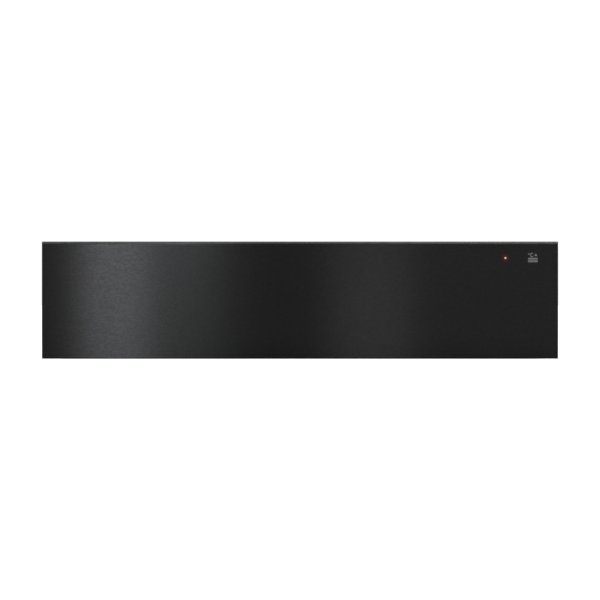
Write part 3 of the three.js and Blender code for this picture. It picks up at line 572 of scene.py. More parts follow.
class Shape:
    """Collects closed shells, in millimetres, and turns them into one object."""

    def __init__(self):
        self.v, self.f = [], []

    def add(self, verts, faces):
        base = len(self.v)
        self.v += [Vector(p) for p in verts]
        self.f += [tuple(base + i for i in face) for face in faces]
        return self

    def cap(self, loops):
        """A flat face: the first loop less the others. Loops are lists of 3-D points."""
        flat = tessellate_polygon([[Vector(p) for p in loop] for loop in loops])
        points = [p for loop in loops for p in loop]
        return self.add(points, [t for t in flat if len(set(t)) == 3])

    def loft(self, rings, start=True, end=True, closed=False):
        n = len(rings[0])
        verts = [p for ring in rings for p in ring]
        faces = []
        count = len(rings) if closed else len(rings) - 1
        for k in range(count):
            m = (k + 1) % len(rings)
            for i in range(n):
                j = (i + 1) % n
                faces.append((k * n + i, k * n + j, m * n + j, m * n + i))
        self.add(verts, faces)
        if not closed:
            if start:
                self.cap([rings[0]])
            if end:
                self.cap([rings[-1]])
        return self

    def lathe(self, profile, origin, axis, n=32, spin=0.0):
        """profile is (radius, distance along axis). A radius can be a function of the angle, for a hexagon or a star."""
        o, w = Vector(origin), Vector(axis).normalized()
        u = Vector((0, 0, 1)) if abs(w.z) < 0.9 else Vector((1, 0, 0))
        u = (u - w * u.dot(w)).normalized()
        v = w.cross(u)
        rings, poles = [], {}
        for k, (r, h) in enumerate(profile):
            if r == 0:
                poles[k] = o + w * h
                continue
            ring = []
            for i in range(n):
                t = 2 * math.pi * i / n + spin
                q = r(t) if callable(r) else r
                ring.append(o + w * h + (u * math.cos(t) + v * math.sin(t)) * q)
            rings.append(ring)
        verts = [p for ring in rings for p in ring]
        faces = []
        for k in range(len(rings) - 1):
            for i in range(n):
                j = (i + 1) % n
                faces.append((k * n + i, k * n + j, (k + 1) * n + j, (k + 1) * n + i))
        if 0 in poles:
            verts.append(poles[0])
            faces += [(len(verts) - 1, (i + 1) % n, i) for i in range(n)]
        last = len(profile) - 1
        if last in poles:
            verts.append(poles[last])
            b = (len(rings) - 1) * n
            faces += [(len(verts) - 1, b + i, b + (i + 1) % n) for i in range(n)]
        if 0 not in poles and last not in poles:
            # a ring: join the last loop back to the first
            b = (len(rings) - 1) * n
            faces += [(b + i, b + (i + 1) % n, (i + 1) % n, i) for i in range(n)]
        return self.add(verts, faces)

    def prism(self, outline, place, a, b, holes=()):
        """An outline run from a to b. place(p, depth) gives the 3-D point."""
        for depth in (a, b):
            self.cap([[place(p, depth) for p in loop] for loop in (outline, *holes)])
        for loop in (outline, *holes):
            self.loft([[place(p, a) for p in loop], [place(p, b) for p in loop]], False, False)
        return self

    def tube(self, points, radius, sides=16, hollow=False):
        points = [Vector(p) for p in points]
        tangents = []
        for i in range(len(points)):
            a, b = points[max(i - 1, 0)], points[min(i + 1, len(points) - 1)]
            tangents.append((b - a).normalized())
        up = tangents[0].orthogonal().normalized()
        rings = []
        for i, (p, t) in enumerate(zip(points, tangents)):
            up = (up - t * up.dot(t)).normalized()
            side = t.cross(up)
            r = radius(i / (len(points) - 1)) if callable(radius) else radius
            rings.append(
                [p + (up * math.cos(a) + side * math.sin(a)) * r for a in (2 * math.pi * k / sides for k in range(sides))]
            )
        return self.loft(rings)

    def block(self, x0, x1, y0, y1, z0, z1, r=0.0):
        place = lambda p, d: (p[0], d, p[1])
        outline = rounded_rect(x0, x1, z0, z1, r, 4) if r else [(x0, z0), (x1, z0), (x1, z1), (x0, z1)]
        return self.prism(outline, place, y0, y1)

    def object(self, name, material, body, slot, replaces=(), bevel=0.0, angle=40, sharp=False):
        mesh = bpy.data.meshes.new(name)
        mesh.from_pydata([tuple(v * MM) for v in self.v], [], self.f)
        mesh.validate()
        bm = bmesh.new()
        bm.from_mesh(mesh)
        bmesh.ops.remove_doubles(bm, verts=bm.verts, dist=2e-7)
        bmesh.ops.dissolve_degenerate(bm, edges=bm.edges, dist=1e-8)
        bmesh.ops.recalc_face_normals(bm, faces=bm.faces)
        bm.to_mesh(mesh)
        bm.free()
        mesh.materials.append(material)
        for p in mesh.polygons:
            p.use_smooth = True
        obj = link(bpy.data.objects.new(name, mesh))
        if bevel:
            d = obj.modifiers.new("flat", "DECIMATE")
            d.decimate_type = "DISSOLVE"
            d.angle_limit = math.radians(0.5)
        soften(obj, bevel, 2, angle, weld=False)
        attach(obj, body)
        if replaces:
            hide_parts(*replaces)
        return obj


def along_y(p, d):
    return (p[0], d, p[1])


def along_x(p, d):
    return (d, p[0], p[1])


def along_z(p, d):
    return (p[0], p[1], d)


def bent(points, r, n=5):
    """Corner points, 2-D or 3-D, rounded with radius r, or a radius for each corner."""
    pts = [Vector((*p, 0)) if len(p) == 2 else Vector(p) for p in points]
    out = [pts[0]]
    for i in range(1, len(pts) - 1):
        radius = r[i - 1] if isinstance(r, (list, tuple)) else r
        a = (pts[i - 1] - pts[i]).normalized()
        b = (pts[i + 1] - pts[i]).normalized()
        half = a.angle(b) / 2
        d = radius / math.tan(half)
        centre = pts[i] + (a + b).normalized() * (radius / math.sin(half))
        s, e = pts[i] + a * d - centre, pts[i] + b * d - centre
        total = s.angle(e)
        for k in range(n + 1):
            t = k / n
            out.append(centre + s * (math.sin((1 - t) * total) / math.sin(total)) + e * (math.sin(t * total) / math.sin(total)))
    out.append(pts[-1])
    if len(points[0]) == 2:
        return [(p.x, p.y) for p in out]
    return out


def thick(path, t):
    """The closed outline of a 2-D path drawn t thick."""
    left, right = [], []
    for i, p in enumerate(path):
        a = Vector(path[max(i - 1, 0)])
        b = Vector(path[min(i + 1, len(path) - 1)])
        p = Vector(p)
        d1 = (p - a).normalized() if i else (b - p).normalized()
        d2 = (b - p).normalized() if i < len(path) - 1 else d1
        d = (d1 + d2).normalized()
        n = Vector((-d.y, d.x))
        k = t / 2 / max(0.3, n.dot(Vector((-d1.y, d1.x))))
        left.append(tuple(p + n * k))
        right.append(tuple(p - n * k))
    return left + right[::-1]


# ------------------------------------------------------------------ fasteners
def torx(shape, origin, axis, r=4.0, h=2.2):
    """Domed pan head with a six-lobed recess."""
    star = lambda t: r * 0.43 * (1 + 0.13 * math.cos(6 * t))
    low = lambda t: r * 0.40 * (1 + 0.13 * math.cos(6 * t))
    shape.lathe(
        [
            (0, 0),
            (r * 0.96, 0),
            (r, 0.05 * h),
            (r, 0.30 * h),
            (r * 0.96, 0.55 * h),
            (r * 0.86, 0.78 * h),
            (r * 0.70, 0.94 * h),
            (r * 0.56, h),
            (star, h),
            (low, 0.42 * h),
            (0, 0.36 * h),
        ],
        origin,
        axis,
        36,
    )


def long_screw(shape, origin, axis, r, h, shank, length):
    """Pan head with a six-lobed recess on a threaded shank that ends in a short point."""
    star = lambda t: r * 0.43 * (1 + 0.13 * math.cos(6 * t))
    low = lambda t: r * 0.40 * (1 + 0.13 * math.cos(6 * t))
    profile = [(0, -length), (shank * 0.35, -length + 0.1), (shank * 0.8, -length + 1.2)]
    turns = int((length - 2.6) / 0.8)
    for i in range(turns):
        base = -length + 1.4 + 0.8 * i
        profile += [(shank * 0.8, base), (shank, base + 0.3), (shank, base + 0.42), (shank * 0.8, base + 0.72)]
    profile += [(shank * 0.86, -0.6), (shank * 0.9, 0), (r * 0.96, 0), (r, 0.05 * h), (r, 0.30 * h), (r * 0.96, 0.55 * h)]
    profile += [(r * 0.86, 0.78 * h), (r * 0.70, 0.94 * h), (r * 0.56, h), (star, h), (low, 0.42 * h), (0, 0.36 * h)]
    shape.lathe(profile, origin, axis, 36)


def hexagon(apothem):
    return lambda t: apothem / math.cos((t + math.pi / 6) % (math.pi / 3) - math.pi / 6)


def hex_head(shape, origin, axis, af=7.0, spin=0.0):
    """Flanged hexagon head with a shallow dish on top."""
    a = af / 2
    shape.lathe(
        [
            (0, 0),
            (a * 1.5, 0),
            (a * 1.55, 0.15),
            (a * 1.55, 0.5),
            (a * 1.42, 0.85),
            (hexagon(a), 1.05),
            (hexagon(a), 3.0),
            (lambda t: min(hexagon(a)(t), a * 1.08), 3.35),
            (a * 0.92, 3.6),
            (a * 0.62, 3.6),
            (a * 0.5, 3.2),
            (0, 3.1),
        ],
        origin,
        axis,
        36,
        spin,
    )


def rivet(shape, origin, axis, r=3.0, h=1.1):
    shape.lathe(
        [(0, 0), (r, 0), (r, 0.12 * h), (r * 0.93, 0.45 * h), (r * 0.75, 0.75 * h), (r * 0.45, 0.95 * h), (r * 0.2, h), (0, h)],
        origin,
        axis,
        24,
    )


def spot(shape, origin, axis, r=2.6):
    """The shallow ring that a spot weld leaves on a sheet."""
    shape.lathe(
        [(0, -0.2), (r, -0.2), (r, 0.02), (r * 0.88, 0.10), (r * 0.72, 0.10), (r * 0.6, 0.02), (0, 0.01)], origin, axis, 20
    )


# ------------------------------------------------------------------ front
PRINT = 0.02  # thickness of the printed sign on the coat, in millimetres


def front_skin():
    low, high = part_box("front_panel")
    x0, x1, z0, z1 = (v / MM for v in (low.x, high.x, low.z, high.z))
    y0, y1 = low.y / MM + PRINT, high.y / MM
    side, top, under, t = 0.9, 3.3, 1.1, 1.0
    corner, n = 0.55, 4

    def ring(inset, depth):
        """inset and depth are functions of a fold's radius. The depth runs smoothly round each corner."""
        points = []
        plan = rounded_rect(
            x0 + inset(side), x1 - inset(side), z0 + inset(under), z1 - inset(top), corner, n
        )
        ends = [(under, side), (side, top), (top, side), (side, under)]
        for i, (x, z) in enumerate(plan):
            a, b = ends[i // (n + 1)]
            w = (i % (n + 1)) / n
            points.append((x, y0 + depth(a) * (1 - w) + depth(b) * w, z))
        return points

    rings = []
    for i in range(9):
        a = math.radians(90 * i / 8)
        rings.append(ring(lambda r: r * (1 - math.sin(a)), lambda r: r * (1 - math.cos(a))))
    back = y1 - y0
    for inset, depth in ((0, back - 0.25), (0.08, back - 0.08), (0.25, back), (t - 0.25, back), (t - 0.08, back - 0.08), (t, back - 0.25)):
        rings.append(ring(lambda r: inset, lambda r: depth))
    for i in range(5):
        a = math.radians(90 * i / 4)
        inner = lambda r: max(r - t, 0.25)
        rings.append(ring(lambda r: t + inner(r) * (1 - math.cos(a)), lambda r: t + inner(r) * (1 - math.sin(a))))
    s = Shape()
    s.loft(rings, False, False)
    lx, lz = LED.x / MM, LED.z / MM
    wall = [(1.42, 0.0), (1.34, 0.03), (1.30, 0.12), (1.30, t)]
    hole = [[(px, y0 + d, pz) for px, pz in circle(lx, lz, r)] for r, d in wall]
    s.cap([rings[0], hole[0]])
    s.cap([rings[-1], hole[-1]])
    s.loft(hole, False, False)
    obj = s.object("front_skin", M["front"], "drawer", "black_steel", ["front_panel"])
    obj.modifiers["normals"].weight = 100
    return obj


def lamp():
    """The end of the light pipe: a small domed lens, bright in the middle and red at its rim."""
    g = Graph("lamp_lens")
    x, y, z = g.parts(g.object)
    dx = g.math("SUBTRACT", x, LED.x)
    dz = g.math("SUBTRACT", z, LED.z)
    away = g.math("SQRT", g.math("ADD", g.math("MULTIPLY", dx, dx), g.math("MULTIPLY", dz, dz)))
    core = g.scale(away, 1.0, 0.0, 0.0009, 0.0013)
    g.set(
        Base_Color=g.mix(core, (0.20, 0.02, 0.015), (0.25, 0.16, 0.15)),
        Roughness=0.25,
        Emission_Color=g.mix(core, (0.16, 0.03, 0.022), (0.56, 0.40, 0.365)),
        Emission_Strength=1.0,
    )
    s = Shape()
    y0 = FRONT_Y / MM
    s.lathe(
        [(0, 0.10), (0.45, 0.12), (0.85, 0.18), (1.08, 0.28), (1.2, 0.42), (1.2, 7.2), (0, 7.3)],
        (LED.x / MM, y0, LED.z / MM),
        (0, 1, 0),
        24,
    )
    return s.object("lamp_light_pipe", g.material, "drawer", "red_lens", ["indicator_lens"])


def symbol():
    """A plain temperature sign and level bars, printed on the coat."""
    g = Graph("print_grey")
    speck = g.noise(g.at(), 2500, 2, 0.5)
    low, high = SYMBOL_TONE
    g.set(
        Base_Color=g.mix(g.scale(speck, 0, 1, 0.3, 0.7), (low, low, low), (high, high, high)),
        Roughness=0.6,
        Specular_IOR_Level=0.3,
        Normal=g.bump(speck, 0.1, 0.00003),
    )
    s = Shape()
    y0 = FRONT_Y / MM

    def plate(outline, *holes):
        s.prism(outline, along_y, y0, y0 + PRINT + 0.05, holes)

    plate(circle(263.4, 121.6, 0.92, 20), circle(263.4, 121.6, 0.4, 20))
    cx, cz, outer, inner = 266.85, 120.45, 2.5, 1.5
    arc = [math.radians(46 + 268 * i / 24) for i in range(25)]
    plate(
        [(cx + 0.86 * outer * math.cos(a), cz + outer * math.sin(a)) for a in arc]
        + [(cx + 0.82 * inner * math.cos(a), cz + inner * math.sin(a)) for a in reversed(arc)]
    )
    plate([(269.4, 119.25), (273.1, 119.25), (271.25, 122.25)])
    for z0, z1 in ((115.65, 117.15), (113.85, 115.0), (112.2, 113.2)):
        plate(rounded_rect(262.3, 273.3, z0, z1, 0.25, 3))
    return s.object("front_symbol", g.material, "drawer", "grey_plastic")


SYMBOL_TONE = (0.155, 0.185)
front_skin()
lamp()
symbol()
finish("front_back_plate", M["zinc_sheet"], 0.2)
finish("front_core", M["honeycomb"], 0.3)
finish("control_housing", M["black_plastic"], 0.4)
finish("control_board", M["board"], 0.12)

# ------------------------------------------------------------------ housing
for name in "housing_base housing_side_left housing_side_right housing_rear_panel".split():
    finish(name, M["zinc_sheet"], 0.22)
for name in "cabinet_bracket_left cabinet_bracket_right cable_arm_base_bracket cable_arm_drawer_bracket".split():
    finish(name, M["zinc_sheet"], 0.25)
finish("top_heat_shield", M["steel_y"], 0.2)
finish("top_insulation_pad", M["wool"], 1.2, 3)
nodes["housing_base"].modifiers["edge"].angle_limit = math.radians(20)
nodes["housing_base"].modifiers["edge"].width = 0.6 * MM


def top_cover():
    """One sheet with four drawn ribs, its front edge bent down over a small radius."""
    low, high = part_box("housing_top_cover")
    x0, x1, y0, y1 = low.x / MM, high.x / MM, low.y / MM, high.y / MM
    z1 = high.z / MM
    t = 0.8
    s = Shape()
    bend = 1.3
    profile = [(15.8, 0.0), (15.3, 0.05), (14.6, 0.22), (13.6, 0.62), (12.4, 1.25), (11.4, 1.85), (10.6, 2.25), (9.8, 2.5), (9.0, 2.6)]
    for face in (0, 1):
        z = z1 - t * face
        grow = 0.35 * face
        outline = rounded_rect(x0 + 0.1, x1 - 0.1, y0 + bend, y1 - 0.1, 0.6, 4)
        holes = []
        for c in (-170, -60, 50, 160):
            rings = [
                [(a, b, z - d) for a, b in stadium(0, c, 236 - 15.8, r + grow, 10)] for r, d in profile
            ]
            s.loft(rings, False, True)
            holes.append(rings[0])
        s.cap([[(a, b, z) for a, b in outline], *holes])
    outline = rounded_rect(x0 + 0.1, x1 - 0.1, y0 + bend, y1 - 0.1, 0.6, 4)
    s.loft([[(a, b, z1) for a, b in outline], [(a, b, z1 - t) for a, b in outline]], False, False)
    # bent front edge, a separate thin band that meets the sheet
    path = bent([(y0 + 8, z1 - t / 2), (y0 + t / 2, z1 - t / 2), (y0 + t / 2, 125.5)], bend, 6)
    s.prism(thick(path, t), along_x, -263, 263)
    return s.object("top_cover_sheet", M["zinc_sheet"], "housing", "galvanised", ["housing_top_cover"], 0.12)


def housing_fixings():
    s = Shape()
    for k in (-1, 1):
        for y in (-232, -80, 80, 236):
            torx(s, (k * 278, y, 129), (k, 0, 0), 3.8, 2.0)
        for y in (-215, -90, 40, 170, 238):
            rivet(s, (k * 278, y, 67.5), (k, 0, 0), 3.2, 1.2)
        for z in (28, 116):
            pass
    for x in (-262, -158, -8, 118, 262):
        torx(s, (x, 261.8, 128.5), (0, 1, 0), 3.8, 2.0)
    for x in (-262, -90, 90, 262):
        torx(s, (x, 261.8, 9), (0, 1, 0), 3.8, 2.0)
    for x, z in ((-262, 70), (262, 70)):
        torx(s, (x, 261.8, z), (0, 1, 0), 3.8, 2.0)
    for x, z in ((178, 45), (246, 45), (178, 89), (246, 89)):
        rivet(s, (x, 261.8, z), (0, 1, 0), 2.4, 0.9)
    for x, z in ((-167, 59), (-129, 59)):
        rivet(s, (x, 261.8, z), (0, 1, 0), 2.6, 1.0)
    s.object("housing_fixings", M["screw"], "housing", "zinc_plated")
    w = Shape()
    for k in (-1, 1):
        for y in range(-225, 250, 50):
            spot(w, (k * 278, y, 9), (k, 0, 0))
        for z in (24, 46, 98, 120):
            spot(w, (k * 278, -242, z), (k, 0, 0))
    for x in range(-250, 251, 50):
        spot(w, (x, 261.8, 5.2), (0, 1, 0), 2.3)
    w.object("housing_spot_welds", M["zinc_sheet"], "housing", "galvanised")


def gland():
    """Cable gland: hexagon body and a domed, fluted nut with a rubber seal."""
    s = Shape()
    o, a = (214, 0, 62), (0, 1, 0)
    flute = lambda t: 8.5 + 0.12 * math.cos(16 * t)
    s.lathe([(4.9, 256), (7.6, 256), (8, 256.4), (8, 262.1), (hexagon(12.5 * 0.866), 262.15), (hexagon(12.5 * 0.866), 267.6), (10.4, 268.3), (8.55, 268.35), (flute, 268.6), (flute, 270.6), (8.2, 271.3), (7.2, 271.85), (6.2, 271.98), (5.5, 271.9), (4.9, 271.2)], o, a, 96)
    s.object("cable_gland_body", M["black_plastic"], "housing", "black_plastic", ["mains_cable_gland"])
    r = Shape()
    r.lathe([(4.65, 258), (5.3, 258), (5.3, 271.5), (5.1, 271.75), (4.8, 271.8), (4.62, 271.5)], o, a, 48)
    r.object("cable_gland_seal", M["rubber"], "housing", "rubber")


def terminal_parts():
    finish("terminal_box", M["grey_plastic"], 0.6)
    finish("terminal_box_lid", M["grey_plastic"], 0.5)
    s = Shape()
    for x in (190, 234):
        torx(s, (x, 238.9, 67), (0, -1, 0), 3.2, 1.4)
    s.object("terminal_lid_screws", M["screw"], "housing", "zinc_plated")


def bumpers():
    for side, k in (("left", -1), ("right", 1)):
        s = Shape()
        s.lathe([(0, -247.6), (5, -247.6), (5, -248.2), (4.7, -248.8), (4.1, -249.15), (3.0, -249.28), (1.4, -249.3), (0, -249.3)], (k * 282, 0, 72), (0, 1, 0), 32)
        s.object("bumper_pad_" + side, M["rubber"], "housing", "rubber", ["bumper_" + side])


top_cover()
housing_fixings()
gland()
terminal_parts()
bumpers()
finish("push_latch_case", M["black_plastic"], 0.6)
finish("latch_plunger", M["pale_plastic"], 0.4)
finish("latch_striker", M["plated"], 0.25)


# ------------------------------------------------------------------ runners
def runners():
    z = 67.5
    for side, k in (("left", -1), ("right", 1)):
        place = lambda p, d: (k * p[0], d, z + p[1])
        outer = bent([(267.3, 20.1), (267.1, 21.9), (276.0, 21.9), (276.0, -21.9), (267.1, -21.9), (267.3, -20.1)], [0.7, 1.5, 1.5, 0.7], 5)
        s = Shape()
        s.prism(thick(outer, 1.2), place, -236, 244)
        s.object("runner_outer_" + side, M["plated"], "housing", "zinc_plated", ["rail_outer_" + side], 0.15, 50)
        f = Shape()
        for y in (-215, -150, 130, 170, 232):
            rivet(f, (k * 275.4, y, z), (-k, 0, 0), 3.4, 0.5)
        f.object("runner_outer_rivets_" + side, M["screw"], "housing", "zinc_plated")

        middle = bent([(266.7, 15.5), (266.45, 17.15), (273.1, 17.15), (273.1, -17.15), (266.45, -17.15), (266.7, -15.5)], [0.6, 1.4, 1.4, 0.6], 5)
        s = Shape()
        s.prism(thick(middle, 1.05), place, -236, 244)
        s.object("runner_middle_" + side, M["plated"], "runner_middle_" + side, "zinc_plated", ["rail_middle_" + side], 0.15, 50)

        inner = bent([(271.0, 12.4), (264.5, 12.4), (264.5, -12.4), (271.0, -12.4)], 1.3, 5)
        s = Shape()
        s.prism(thick(inner, 1.0), place, -236, 210)
        s.object("runner_inner_" + side, M["plated"], "drawer", "zinc_plated", ["rail_inner_" + side], 0.15, 50)
        f = Shape()
        for y in (-212, -105, 12, 128, 196):
            torx(f, (k * 265.0, y, z), (k, 0, 0), 3.6, 1.3)
        f.object("runner_inner_screws_" + side, M["screw"], "drawer", "zinc_plated")

        for ring, web, zc, x, r in (("outer", 274.5, 19.5, 270.9, 1.66), ("inner", 271.8, 14.8, 269.3, 1.56)):
            finish("ball_cage_%s_%s" % (ring, side), M["black_plastic"], 0.12)
            b = Shape()
            for i in range(6):
                y = -118 + (i + 0.5) * 210 / 6
                for m in (-1, 1):
                    steps = 10
                    b.lathe(
                        [(r * math.sin(math.pi * q / steps) if 0 < q < steps else 0, -r * math.cos(math.pi * q / steps)) for q in range(steps + 1)],
                        (k * x, y, z + m * zc),
                        (0, 1, 0),
                        18,
                    )
            b.object("balls_%s_%s" % (ring, side), M["balls"], "%s_cage_%s" % (ring, side), "zinc_plated")


runners()


# ------------------------------------------------------------------ drawer box
for name in "drawer_side_left drawer_side_right".split():
    finish(name, M["steel_y"], 0.28)
for name in "drawer_front_wall air_baffle floor_frame".split():
    finish(name, M["steel_x"], 0.22)
for name in "drawer_back_wall drawer_floor_pan".split():
    finish(name, M["zinc_sheet"], 0.2)
finish("floor_insulation", M["wool"], 1.2, 3)
finish("glass_base_plate", M["glass"], 0.7, 3)


def mat():
    """Moulded silicone mat: a sheet with a rolled rim and a field of small round nubs."""
    low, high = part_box("anti_slip_mat")
    x0, x1, y0, y1, z0, z1 = (v / MM for v in (low.x, high.x, low.y, high.y, low.z, high.z))
    s = Shape()
    top = z1 - 0.75
    rings = []
    for inset, z in ((0.5, z0), (0.1, z0 + 0.25), (0.0, z0 + 0.6), (0.05, z1 - 0.4), (0.3, z1 - 0.08), (0.7, z1), (2.6, z1), (3.0, z1 - 0.12), (3.4, top + 0.1), (3.9, top)):
        rings.append([(a, b, z) for a, b in rounded_rect(x0 + inset, x1 - inset, y0 + inset, y1 - inset, max(9 - inset, 3), 8)])
    s.loft(rings)
    pitch = 11.9
    nx, ny = int((x1 - x0 - 22) / pitch), int((y1 - y0 - 22) / pitch)
    cx, cy = (x0 + x1) / 2, (y0 + y1) / 2
    for i in range(nx + 1):
        for j in range(ny + 1):
            x = cx + (i - nx / 2) * pitch
            y = cy + (j - ny / 2) * pitch
            s.lathe([(0, top - 0.15), (2.35, top - 0.15), (2.25, top + 0.05), (1.95, top + 0.34), (1.35, top + 0.56), (0.6, top + 0.66), (0, top + 0.68)], (x, y, 0), (0, 0, 1), 12)
    return s.object("mat_with_nubs", M["silicone"], "drawer", "silicone", ["anti_slip_mat"])


def box_fixings():
    s = Shape()
    for x in (-251, -130, 130, 251):
        torx(s, (x, 171.2, 41), (0, -1, 0), 3.4, 1.5)
    for x in (-251, 251):
        torx(s, (x, 171.2, 108), (0, -1, 0), 3.4, 1.5)
    for x, z in ((-176, 53), (-176, 107), (-30.5, 68), (30.5, 82), (100, 72), (187, 72), (-140, 54), (-156, 65)):
        torx(s, (x, 213.2, z), (0, 1, 0), 2.8, 1.5)
    s.object("drawer_fixings", M["screw"], "drawer", "zinc_plated")
    for side, x in (("left", -190), ("right", 190)):
        f = Shape()
        long_screw(f, (x, -250.9, 78), (0, 1, 0), 4.4, 2.0, 2.0, 12.1)
        f.object("front_screw_" + side, M["screw"], "drawer", "zinc_plated", ["front_fixing_screw_" + side])
    w = Shape()
    for k in (-1, 1):
        for z in (40, 60, 80, 100):
            spot(w, (k * 262.5, -247.5, z), (-k, 0, 0), 2.2)
            spot(w, (k * 262.5, 167.5, z), (-k, 0, 0), 2.2)
    w.object("drawer_spot_welds", M["steel_y"], "drawer", "stainless")


mat()
box_fixings()


# ------------------------------------------------------------------ heater, fan, electrics
def element():
    z, r = 26, 3.2
    pts = [(-12, 196, z), (-12, 150, z), (-205, 150, z), (-205, -212, z), (-123, -212, z), (-123, 120, z)]
    pts += [(-41, 120, z), (-41, -212, z), (41, -212, z), (41, 120, z), (123, 120, z), (123, -212, z)]
    pts += [(205, -212, z), (205, 150, z), (12, 150, z), (12, 196, z)]
    s = Shape()
    s.tube(bent(pts, 16, 8), r, 16)
    s.object("heater_tube", M["sheath"], "drawer", "element_sheath", ["heating_element"])
    e = Shape()
    for x in (-12, 12):
        e.lathe([(0, 184), (4.3, 184), (4.6, 184.3), (4.6, 191.6), (4.2, 192), (0, 192)], (x, 0, z), (0, 1, 0), 24)
    e.object("heater_end_seals", M["pale_plastic"], "drawer", "grey_plastic")
    p = Shape()
    for x in (-12, 12):
        p.block(x - 3.1, x + 3.1, 195.6, 203, z - 0.4, z + 0.4)
    p.object("heater_tabs", M["screw"], "drawer", "zinc_plated", bevel=0.15)


def fan():
    s = Shape()
    # stack and end bell of the motor, with cooling grooves
    prof = [(3.7, 215.2), (28.2, 215.2), (29, 216), (29, 219.2)]
    for i in range(5):
        y = 219.6 + 2.1 * i
        prof += [(28.2, y), (28.2, y + 0.7), (29, y + 1.0), (29, y + 1.8)]
    prof += [(28.2, 231.4), (26.6, 233.6), (23.5, 235.2), (19, 235.9), (12.5, 236), (11.4, 236.4), (11, 237.2), (11, 239.3), (10.2, 240), (3.7, 240)]
    s.lathe(prof, (0, 0, 75), (0, 1, 0), 64)
    s.object("fan_motor_body", M["motor"], "drawer", "motor_metal", ["fan_motor"])
    f = Shape()
    f.prism(rounded_rect(-36, 36, 61, 89, 6, 6), along_y, 213.3, 215.1, [circle(0, 75, 6, 32)])
    f.object("fan_motor_flange", M["plated"], "drawer", "motor_metal", bevel=0.25)
    c = Shape()
    for i in range(6):
        a = math.pi / 3 * i + 0.3
        c.lathe([(0, 233.4), (3.2, 233.4), (3.2, 236.4), (2.6, 237.0), (0, 237.0)], (18.0 * math.cos(a), 0, 75 + 18.0 * math.sin(a)), (0, 1, 0), 18)
    c.object("fan_motor_windings", M["copper"], "drawer", "motor_metal")

    w = Shape()
    cx, cz = 0, 75
    w.lathe([(3.05, 203.0), (32.6, 203.0), (33, 203.3), (33, 203.9), (32.6, 204.2), (3.05, 204.2)], (cx, 0, cz), (0, 1, 0), 64)
    w.lathe([(25.2, 186.0), (32.6, 186.0), (33, 186.3), (33, 186.9), (32.6, 187.2), (25.2, 187.2)], (cx, 0, cz), (0, 1, 0), 64)
    w.lathe([(3.05, 190.0), (7.6, 190.0), (8.6, 190.6), (9, 191.6), (9, 203.0), (3.05, 203.0)], (cx, 0, cz), (0, 1, 0), 40)
    for i in range(24):
        a0 = 2 * math.pi * i / 24
        path = []
        for q in range(5):
            u = q / 4
            rr = 25.6 + 6.8 * u
            aa = a0 + 0.26 * u - 0.13 * u * u
            path.append((cx + rr * math.cos(aa), cz + rr * math.sin(aa)))
        w.prism(thick(path, 0.6), along_y, 186.6, 203.6)
    w.object("fan_impeller", M["plated"], "fan", "zinc_plated", ["fan_wheel"])
    h = Shape()
    h.lathe([(0, 189.0), (2.6, 189.0), (3, 189.4), (3, 227.6), (2.6, 228), (0, 228)], (cx, 0, cz), (0, 1, 0), 32)
    h.object("fan_shaft", M["screw"], "fan", "zinc_plated")


def electrics():
    finish("thermal_cutout", M["black_plastic"], 0.3)
    finish("temperature_probe", M["plated"], 0.3)
    s = Shape()
    # module: box with a stepped lid, cooling ribs and a row of tabs
    s.prism(rounded_rect(104, 184, 40, 104, 4, 5), along_y, 214.8, 229.6)
    s.prism(rounded_rect(105.2, 182.8, 41.2, 102.8, 3.4, 5), along_y, 229.4, 235.0)
    for i in range(11):
        x = 114 + 6 * i
        s.prism(rounded_rect(x - 1.2, x + 1.2, 62, 98, 1.1, 4), along_y, 234.6, 236.0)
    s.prism(rounded_rect(96, 190.6, 66, 78, 4, 5), along_y, 213.3, 215.0)
    s.object("power_module_case", M["grey_plastic"], "drawer", "grey_plastic", ["power_module"], 0.35)
    t = Shape()
    for i in range(6):
        t.block(112 + 11 * i, 118.3 + 11 * i, 228, 235.4, 47, 47.8)
        t.block(112 + 11 * i, 118.3 + 11 * i, 228, 235.4, 53, 53.8)
    t.object("power_module_tabs", M["screw"], "drawer", "zinc_plated", bevel=0.12)


def leads():
    s = Shape()
    pts = bent([(256, -259.4, 97.6), (256, -258, 19), (256, 206, 19), (176, 206, 56), (176, 213.6, 56)], 4, 6)
    s.tube(pts, 2.4, 16)
    s.object("wiring_drawer", M["braid"], "drawer", "cable_jacket", ["drawer_harness"])
    theta = math.asin((251 - 230) / 2 / 400)

    def placed(points, base, turn):
        c, q = math.cos(turn), math.sin(turn)
        return [(base[0] + p.x * c - p.y * q, base[1] + p.x * q + p.y * c, p.z) for p in points]

    base = (200, 251)
    elbow = (200 - 400 * math.cos(theta), (251 + 230) / 2)
    s = Shape()
    s.tube(placed(bent([(0, 0, 22), (0, 0, 12), (393.2, 0, 12)], 9, 8), base, math.pi + theta), 2.3, 16)
    s.object("wiring_rear_link", M["braid"], "arm_rear", "cable_jacket", ["arm_harness_rear"])
    s = Shape()
    s.tube(placed(bent([(0, 0, 25.4), (0, 0, 37), (20, 0, 37), (44, 0, 19.8), (393.2, 0, 19.8)], 9, 8), elbow, -theta), 2.3, 16)
    s.object("wiring_front_link", M["braid"], "arm_front", "cable_jacket", ["arm_harness_front"])
    s = Shape()
    s.tube([(200, 251, 22.3), (200, 251, 42)], 2.3, 16)
    s.object("wiring_housing_end", M["braid"], "housing", "cable_jacket", ["arm_lead_housing"])
    s = Shape()
    s.lathe([(2.3, 36), (4.3, 36), (4.4, 36.3), (4.4, 37.4), (4.0, 37.7), (2.9, 37.8), (2.9, 41.8), (2.3, 42)], (200, 251, 0), (0, 0, 1), 32)
    s.object("wiring_grommet", M["rubber"], "housing", "rubber")
    finish("arm_lead_drawer", M["rubber"], 0.3)


